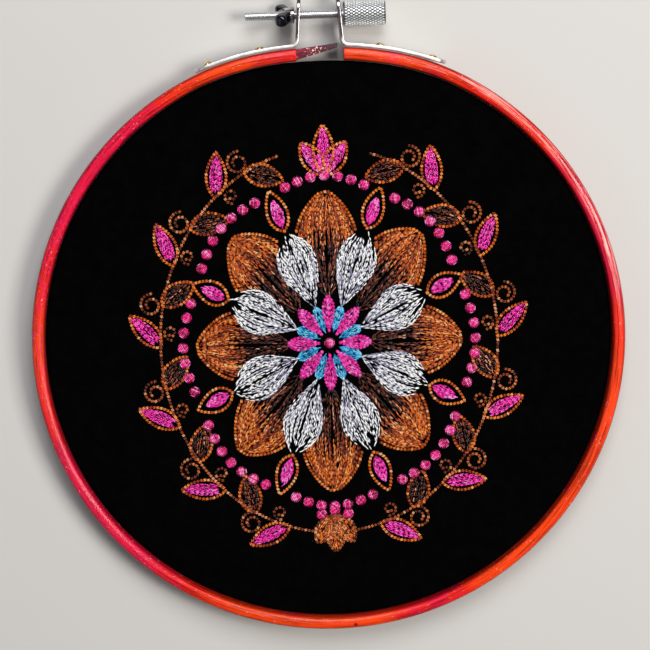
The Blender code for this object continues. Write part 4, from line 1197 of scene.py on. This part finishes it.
pins = grown("brass_pin_heads", in_scene("pin_spots", mesh), pin_heads, {
    "Head radius": PIN_HEAD_RADIUS, "Head height": PIN_HEAD_HEIGHT, "Metal": brass}, "hoop")
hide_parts("pin_left_1", "pin_left_2", "pin_right_1", "pin_right_2")

# Clamp screw: a steel rod with a rolled thread and a round head with a diamond knurl, all nickel plated.
# The real thread rises 0.5 mm a turn. It is drawn with 0.7 mm a turn, because a finer one doesn't show in the
# render. The diamonds of the knurl are 1.8 mm long and 1 mm wide.
ROD_RADIUS = 0.0015
ROD_START = -0.0247
THREAD_PITCH = 0.0007
THREAD_DEPTH = 0.00015
HEAD_START = 0.00815
HEAD_LENGTH = 0.0140
HEAD_RADIUS = 0.0041
KNURLS_ROUND = 25
KNURLS_ALONG = 8
KNURL_DEPTH = 0.00036
SCREW_CHAMFER = 0.0004


def rod_distance(tree, place):
    """How far a place is from the middle line of the rod."""
    from_rod = add_node(tree, 'ShaderNodeVectorMath', {"operation": 'SUBTRACT'},
                        {0: place, 1: (0.0, CENTRE_Y + ROD_Y, ROD_Z)}).outputs[0]
    square_on = add_node(tree, 'ShaderNodeVectorMath', {"operation": 'MULTIPLY'},
                         {0: from_rod, 1: (0.0, 1.0, 1.0)}).outputs[0]
    return add_node(tree, 'ShaderNodeVectorMath', {"operation": 'LENGTH'}, {0: square_on}).outputs["Value"]


plated, tree, shader = new_material("bright_nickel_plated_screw")
place = add_node(tree, 'ShaderNodeTexCoord').outputs["Object"]
smudge = add_node(tree, 'ShaderNodeTexNoise', None,
                  {"Vector": place, "Scale": 1600.0, "Detail": 2.0}).outputs["Fac"]
tint = add_node(tree, 'ShaderNodeValToRGB', {"stops": ((0.3, "#dcdee0"), (0.65, "#fafafa"))},
                {"Fac": smudge}).outputs[0]
# The bottoms of the thread and of the knurl are painted darker as shade, so it follows the distance from the
# rod's middle.
distance = rod_distance(tree, place)
share = add_node(tree, 'ShaderNodeMath', {"operation": 'DIVIDE'}, {0: distance, 1: HEAD_RADIUS}).outputs[0]
knurl_foot, thread_foot = 1.0 - KNURL_DEPTH / HEAD_RADIUS, (ROD_RADIUS - THREAD_DEPTH) / HEAD_RADIUS
groove_shade = add_node(tree, 'ShaderNodeValToRGB', {"stops": (
    (thread_foot, 0.30), (thread_foot + 0.04, 0.0), (knurl_foot - 0.01, 0.0), (knurl_foot, 1.0),
    (knurl_foot + 0.025, 0.9), (knurl_foot + 0.055, 0.0))}, {"Fac": share}).outputs[0]
groove_shaded = add_node(tree, 'ShaderNodeMix', {"data_type": 'RGBA'},
                 {0: groove_shade, 6: tint, 7: linear("#1e1c1a")}).outputs[2]
# The pressed diamonds are rougher than the rolled thread, so more of them catch the light at once.
pressed = add_node(tree, 'ShaderNodeMapRange', None, {
    "Value": share, "From Min": 0.5, "From Max": 0.8, "To Min": 0.24, "To Max": 0.42}).outputs[0]
rough = add_node(tree, 'ShaderNodeMath', {"operation": 'MULTIPLY_ADD'},
                 {0: smudge, 1: 0.20, 2: pressed}).outputs[0]
wire(tree, shader, {"Base Color": groove_shaded, "Metallic": 1.0, "Roughness": rough})

turned_screw, given, result = new_tree("threaded_and_knurled_screw", {
    "Core radius": 'NodeSocketFloat', "Rod length": 'NodeSocketFloat', "Thread turns": 'NodeSocketFloat',
    "Thread depth": 'NodeSocketFloat', "Head core radius": 'NodeSocketFloat',
    "Head length": 'NodeSocketFloat', "Chamfer": 'NodeSocketFloat', "Knurl": 'NodeSocketVector',
    "Knurls round": 'NodeSocketInt', "Head place": 'NodeSocketVector', "Metal": 'NodeSocketMaterial'})
tree = turned_screw
# The rod is a plain core with a ridge wound round it, whose section is a small square on its corner.
core = add_node(tree, 'GeometryNodeMeshCylinder', {"fill_type": 'NGON'}, {
    "Vertices": 24, "Radius": given["Core radius"], "Depth": given["Rod length"]}).outputs["Mesh"]
helix = add_node(tree, 'GeometryNodeCurveSpiral', None, {
    "Resolution": 20, "Rotations": given["Thread turns"], "Start Radius": given["Core radius"],
    "End Radius": given["Core radius"], "Height": given["Rod length"]}).outputs[0]
upright = add_node(tree, 'GeometryNodeSetCurveNormal', {"mode": 'Z_UP'}, {"Curve": helix}).outputs[0]
ridge = add_node(tree, 'GeometryNodeCurvePrimitiveCircle', None,
                 {"Resolution": 4, "Radius": given["Thread depth"]}).outputs["Curve"]
wound = add_node(tree, 'GeometryNodeCurveToMesh', None,
                 {"Curve": upright, "Profile Curve": ridge, "Fill Caps": True}).outputs[0]
half_length = add_node(tree, 'ShaderNodeMath', {"operation": 'MULTIPLY'},
                       {0: given["Rod length"], 1: -0.5}).outputs[0]
lowered = add_node(tree, 'ShaderNodeCombineXYZ', None, {2: half_length}).outputs[0]
thread = add_node(tree, 'GeometryNodeTransform', None, {"Geometry": wound, "Translation": lowered}).outputs[0]
# The head is a core with two sets of diamonds pressed out of it, the second half a step on from the first.
barrel = add_node(tree, 'GeometryNodeMeshCylinder', {"fill_type": 'NGON'}, {
    "Vertices": 100, "Radius": given["Head core radius"], "Depth": given["Head length"]}).outputs["Mesh"]
stud = add_node(tree, 'GeometryNodeMeshCone', {"fill_type": 'NGON'},
                {"Vertices": 4, "Radius Top": 0.48, "Radius Bottom": 0.96, "Depth": 1.0}).outputs["Mesh"]
step = add_node(tree, 'ShaderNodeSeparateXYZ', None, {0: given["Knurl"]}).outputs
half_step = add_node(tree, 'ShaderNodeMath', {"operation": 'DIVIDE'},
                     {0: math.pi, 1: given["Knurls round"]}).outputs[0]
offset = add_node(tree, 'ShaderNodeCombineXYZ', None, {2: half_step}).outputs[0]
studded = add_node(tree, 'GeometryNodeJoinGeometry')
for rows, turned_on in ((KNURLS_ALONG, (0.0, 0.0, 0.0)), (KNURLS_ALONG - 1, offset)):
    depth = add_node(tree, 'ShaderNodeMath', {"operation": 'MULTIPLY'},
                     {0: step["X"], 1: 2.0 * (rows - 1)}).outputs[0]
    lattice = add_node(tree, 'GeometryNodeMeshCylinder', {"fill_type": 'NONE'}, {
        "Vertices": given["Knurls round"], "Side Segments": rows - 1, "Radius": given["Head core radius"],
        "Depth": depth}).outputs["Mesh"]
    outward = add_node(tree, 'GeometryNodeInputNormal').outputs[0]
    facing = add_node(tree, 'FunctionNodeAlignRotationToVector', {"axis": 'Z'},
                      {"Vector": outward}).outputs[0]
    facing = add_node(tree, 'FunctionNodeAlignRotationToVector', {"axis": 'X', "pivot_axis": 'Z'},
                      {"Rotation": facing, "Vector": (0.0, 0.0, 1.0)}).outputs[0]
    studs = add_node(tree, 'GeometryNodeInstanceOnPoints', None, {
        "Points": lattice, "Instance": stud, "Rotation": facing, "Scale": given["Knurl"]}).outputs[0]
    placed = add_node(tree, 'GeometryNodeTransform', None,
                      {"Geometry": studs, "Rotation": turned_on}).outputs[0]
    tree.links.new(placed, studded.inputs[0])
tree.links.new(barrel, studded.inputs[0])
head = add_node(tree, 'GeometryNodeTransform', None,
                {"Geometry": studded.outputs[0], "Translation": given["Head place"]}).outputs[0]
nose_radius = add_node(tree, 'ShaderNodeMath', {"operation": 'SUBTRACT'},
                       {0: given["Core radius"], 1: given["Chamfer"]}).outputs[0]
nose = add_node(tree, 'GeometryNodeMeshCone', {"fill_type": 'NGON'}, {
    "Vertices": 24, "Radius Top": given["Core radius"], "Radius Bottom": nose_radius,
    "Depth": given["Chamfer"]}).outputs["Mesh"]
nose_end = add_node(tree, 'ShaderNodeMath', {"operation": 'MULTIPLY_ADD'},
                    {0: given["Chamfer"], 1: -0.5, 2: half_length}).outputs[0]
nose_place = add_node(tree, 'ShaderNodeCombineXYZ', None, {2: nose_end}).outputs[0]
nosed = add_node(tree, 'GeometryNodeTransform', None,
                 {"Geometry": nose, "Translation": nose_place}).outputs[0]
joined = add_node(tree, 'GeometryNodeJoinGeometry')
for piece in (core, thread, head, nosed):
    tree.links.new(piece, joined.inputs[0])
real = add_node(tree, 'GeometryNodeRealizeInstances', None, {0: joined.outputs[0]}).outputs[0]
dressed = add_node(tree, 'GeometryNodeSetMaterial', None,
                   {"Geometry": real, "Material": given["Metal"]}).outputs[0]
wire(tree, result, {0: dressed})

rod_length = HEAD_START - ROD_START - SCREW_CHAMFER
rod_middle = HEAD_START - rod_length / 2
knurl_size = (HEAD_LENGTH / KNURLS_ALONG / 2, math.pi * HEAD_RADIUS / KNURLS_ROUND, KNURL_DEPTH)
blank = in_scene("screw_blank", bpy.data.meshes.new("screw_blank"))
screw = grown("knurled_clamp_screw", blank, turned_screw, {
    "Core radius": ROD_RADIUS - THREAD_DEPTH, "Rod length": rod_length,
    "Thread turns": rod_length / THREAD_PITCH, "Thread depth": THREAD_DEPTH,
    "Head core radius": HEAD_RADIUS - KNURL_DEPTH, "Head length": HEAD_LENGTH, "Chamfer": SCREW_CHAMFER,
    "Knurl": knurl_size, "Knurls round": KNURLS_ROUND,
    "Head place": (0.0, 0.0, HEAD_START + HEAD_LENGTH / 2 - rod_middle), "Metal": plated},
    "screw")
screw_place = Matrix.Translation((rod_middle, CENTRE_Y + ROD_Y, ROD_Z))
screw.data.transform(screw_place @ Matrix.Rotation(math.pi / 2, 4, 'Y'))
screw.data.shade_smooth()
screw.data.set_sharp_from_angle(angle=math.radians(28.0))
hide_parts("clamp_screw")

# Wing nut: a small cast nut with a tapered hub and two thick rounded wings, polished and nickel plated.
# It stands on the rod's free side, turned so that its near wing covers the rod.
NUT_START = -0.0081
NUT_HUB_LENGTH = 0.0032
NUT_HUB_RADII = (0.0028, 0.0024)
NUT_HUB_ROUNDING = 0.0003
NUT_BORE_RADIUS = 0.0018
NUT_TURN = math.radians(70.0)
WING_ROOT = (0.0015, 0.0020, 0.0012)
WING_LOBE = (0.0046, 0.0043, 0.0020)
WING_THICKNESS = 0.0040
WING_ROUNDING = 0.0011
WING_STEPS = 24
NEARLY_LEVEL = 1e-6
glossy, tree, shader = new_material("polished_nickel_plated_nut")
place = add_node(tree, 'ShaderNodeTexCoord').outputs["Object"]
smudge = add_node(tree, 'ShaderNodeTexNoise', None,
                  {"Vector": place, "Scale": 500.0, "Detail": 2.0}).outputs["Fac"]
tint = add_node(tree, 'ShaderNodeValToRGB', {"stops": ((0.3, "#26262c"), (0.7, "#48464e"))},
                {"Fac": smudge}).outputs[0]
# The wings are painted dark, as shade and the dark surroundings that they reflect, and the hub is left
# bright.
distance = rod_distance(tree, place)
painted_dark_share = add_node(tree, 'ShaderNodeMapRange', None, {
    "Value": distance, "From Min": 0.0025, "From Max": 0.0029, "To Min": 0.0, "To Max": 1.0}).outputs[0]
wings_painted_dark = add_node(tree, 'ShaderNodeMix', {"data_type": 'RGBA'},
                    {0: painted_dark_share, 6: linear("#d8d4d0"), 7: tint}).outputs[2]
rough = add_node(tree, 'ShaderNodeMath', {"operation": 'MULTIPLY_ADD'},
                 {0: smudge, 1: 0.15, 2: 0.06}).outputs[0]
wire(tree, shader, {"Base Color": wings_painted_dark, "Metallic": 1.0, "Roughness": rough})
nut_place = Matrix.Translation((NUT_START, CENTRE_Y + ROD_Y, ROD_Z)) @ (
    Matrix.Rotation(math.pi / 2 - NUT_TURN, 4, 'X') @ Matrix.Rotation(-math.pi / 2, 4, 'Y'))


def nut_part(name, shape):
    """Set a shape that was built about the Z axis on the rod, as an object of the nut's metal."""
    mesh = bpy.data.meshes.new(name)
    bmesh.ops.recalc_face_normals(shape, faces=shape.faces)
    shape.to_mesh(mesh)
    shape.free()
    mesh.transform(nut_place)
    mesh.materials.append(glossy)
    return in_scene(name, mesh)


shape = bmesh.new()
bmesh.ops.create_cone(shape, cap_ends=True, segments=64, radius1=NUT_HUB_RADII[0], radius2=NUT_HUB_RADII[1],
                      depth=NUT_HUB_LENGTH)
bmesh.ops.translate(shape, vec=(0.0, 0.0, NUT_HUB_LENGTH / 2), verts=shape.verts)
rims = [e for e in shape.edges if abs(e.verts[0].co.z - e.verts[1].co.z) < NEARLY_LEVEL]
bmesh.ops.bevel(shape, geom=rims, offset=NUT_HUB_ROUNDING, segments=3, profile=0.5, affect='EDGES')
nut = nut_part("polished_wing_nut", shape)
wings = []
(small_x, small_y, small_radius), (large_x, large_y, large_radius) = WING_ROOT, WING_LOBE
heading = math.atan2(large_y - small_y, large_x - small_x)
spread = math.acos((small_radius - large_radius) / math.hypot(large_x - small_x, large_y - small_y))
for sign in (1.0, -1.0):
    shape = bmesh.new()
    rim_points = []
    for x, y, radius, start, sweep in (
        (large_x, large_y, large_radius, heading - spread, 2 * spread),
        (small_x, small_y, small_radius, heading + spread, 2 * math.pi - 2 * spread),
    ):
        for step in range(WING_STEPS + 1):
            angle = start + sweep * step / WING_STEPS
            out, along = x + radius * math.cos(angle), y + radius * math.sin(angle)
            rim_points.append(shape.verts.new((sign * out, -WING_THICKNESS / 2, along)))
    bmesh.ops.remove_doubles(shape, verts=shape.verts, dist=1e-6)
    bottom = shape.faces.new([v for v in rim_points if v.is_valid])
    grown_up = bmesh.ops.extrude_face_region(shape, geom=[bottom])["geom"]
    bmesh.ops.translate(shape, vec=(0.0, WING_THICKNESS, 0.0),
                        verts=[g for g in grown_up if isinstance(g, bmesh.types.BMVert)])
    rims = [e for e in shape.edges if abs(e.verts[0].co.y - e.verts[1].co.y) < NEARLY_LEVEL]
    bmesh.ops.bevel(shape, geom=rims, offset=WING_ROUNDING, segments=5, profile=0.5, affect='EDGES')
    wings.append(nut_part("wing", shape))
nut = bored(nut, NUT_BORE_RADIUS, wings)
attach(nut, "nut")
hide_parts("wing_nut")

# Camera, floor and lights: the camera looks down from where the picture was taken, and the floor is plain and
# pale. Two softboxes light the hoop, from the right and from the top, with a weaker one from the left.
FLOOR_HALF = 3.0
scene = bpy.context.scene
scene.view_settings.view_transform = 'Standard'
eye = Vector((-0.0101, 0.0992 + CENTRE_Y, 0.600))
aim = Vector((-0.0013, 0.0060 + CENTRE_Y, 0.008))
ahead = (aim - eye).normalized()
right = ahead.cross(Vector((0.0328, 0.9995, 0.0))).normalized()
upright = right.cross(ahead)
camera = in_scene("camera", bpy.data.cameras.new("camera"))
camera.data.lens = 97.25
camera.data.sensor_width = 36.0
camera.data.clip_start = 0.01
camera.matrix_world = Matrix.Translation(eye) @ Matrix((right, upright, -ahead)).transposed().to_4x4()
scene.camera = camera

paper, tree, shader = new_material("pale_matt_board")
wire(tree, shader, {"Base Color": linear("#bebcb8"), "Roughness": 0.9})
floor_corners = [(FLOOR_HALF * x, FLOOR_HALF * y, 0.0) for x, y in ((-1, -1), (1, -1), (1, 1), (-1, 1))]
floor = mesh_piece("floor", floor_corners, [(0, 1, 2, 3)], paper)

for name, spot, size, power, colour in (
    ("right_softbox", (0.63, 0.06, 1.00), 0.42, 10.5, "#fffaf4"),
    ("top_softbox", (0.10, 0.70, 0.95), 0.62, 10.5, "#fafcff"),
    ("fill_softbox", (-0.70, -0.30, 0.80), 0.90, 1.0, "#f2f6ff"),
):
    lamp = bpy.data.lights.new(name, 'AREA')
    lamp.energy = power
    lamp.size = size
    lamp.color = linear(colour)[:3]
    made = in_scene(name, lamp)
    made.location = spot
    made.rotation_euler = (Vector((0.0, 0.0, 0.0)) - Vector(spot)).to_track_quat('-Z', 'Y').to_euler()
world = bpy.data.worlds.new("studio")
scene.world = world
world.use_nodes = True
wire(world.node_tree, world.node_tree.nodes["Background"], {"Color": linear("#c9ccd2"), "Strength": 0.22})
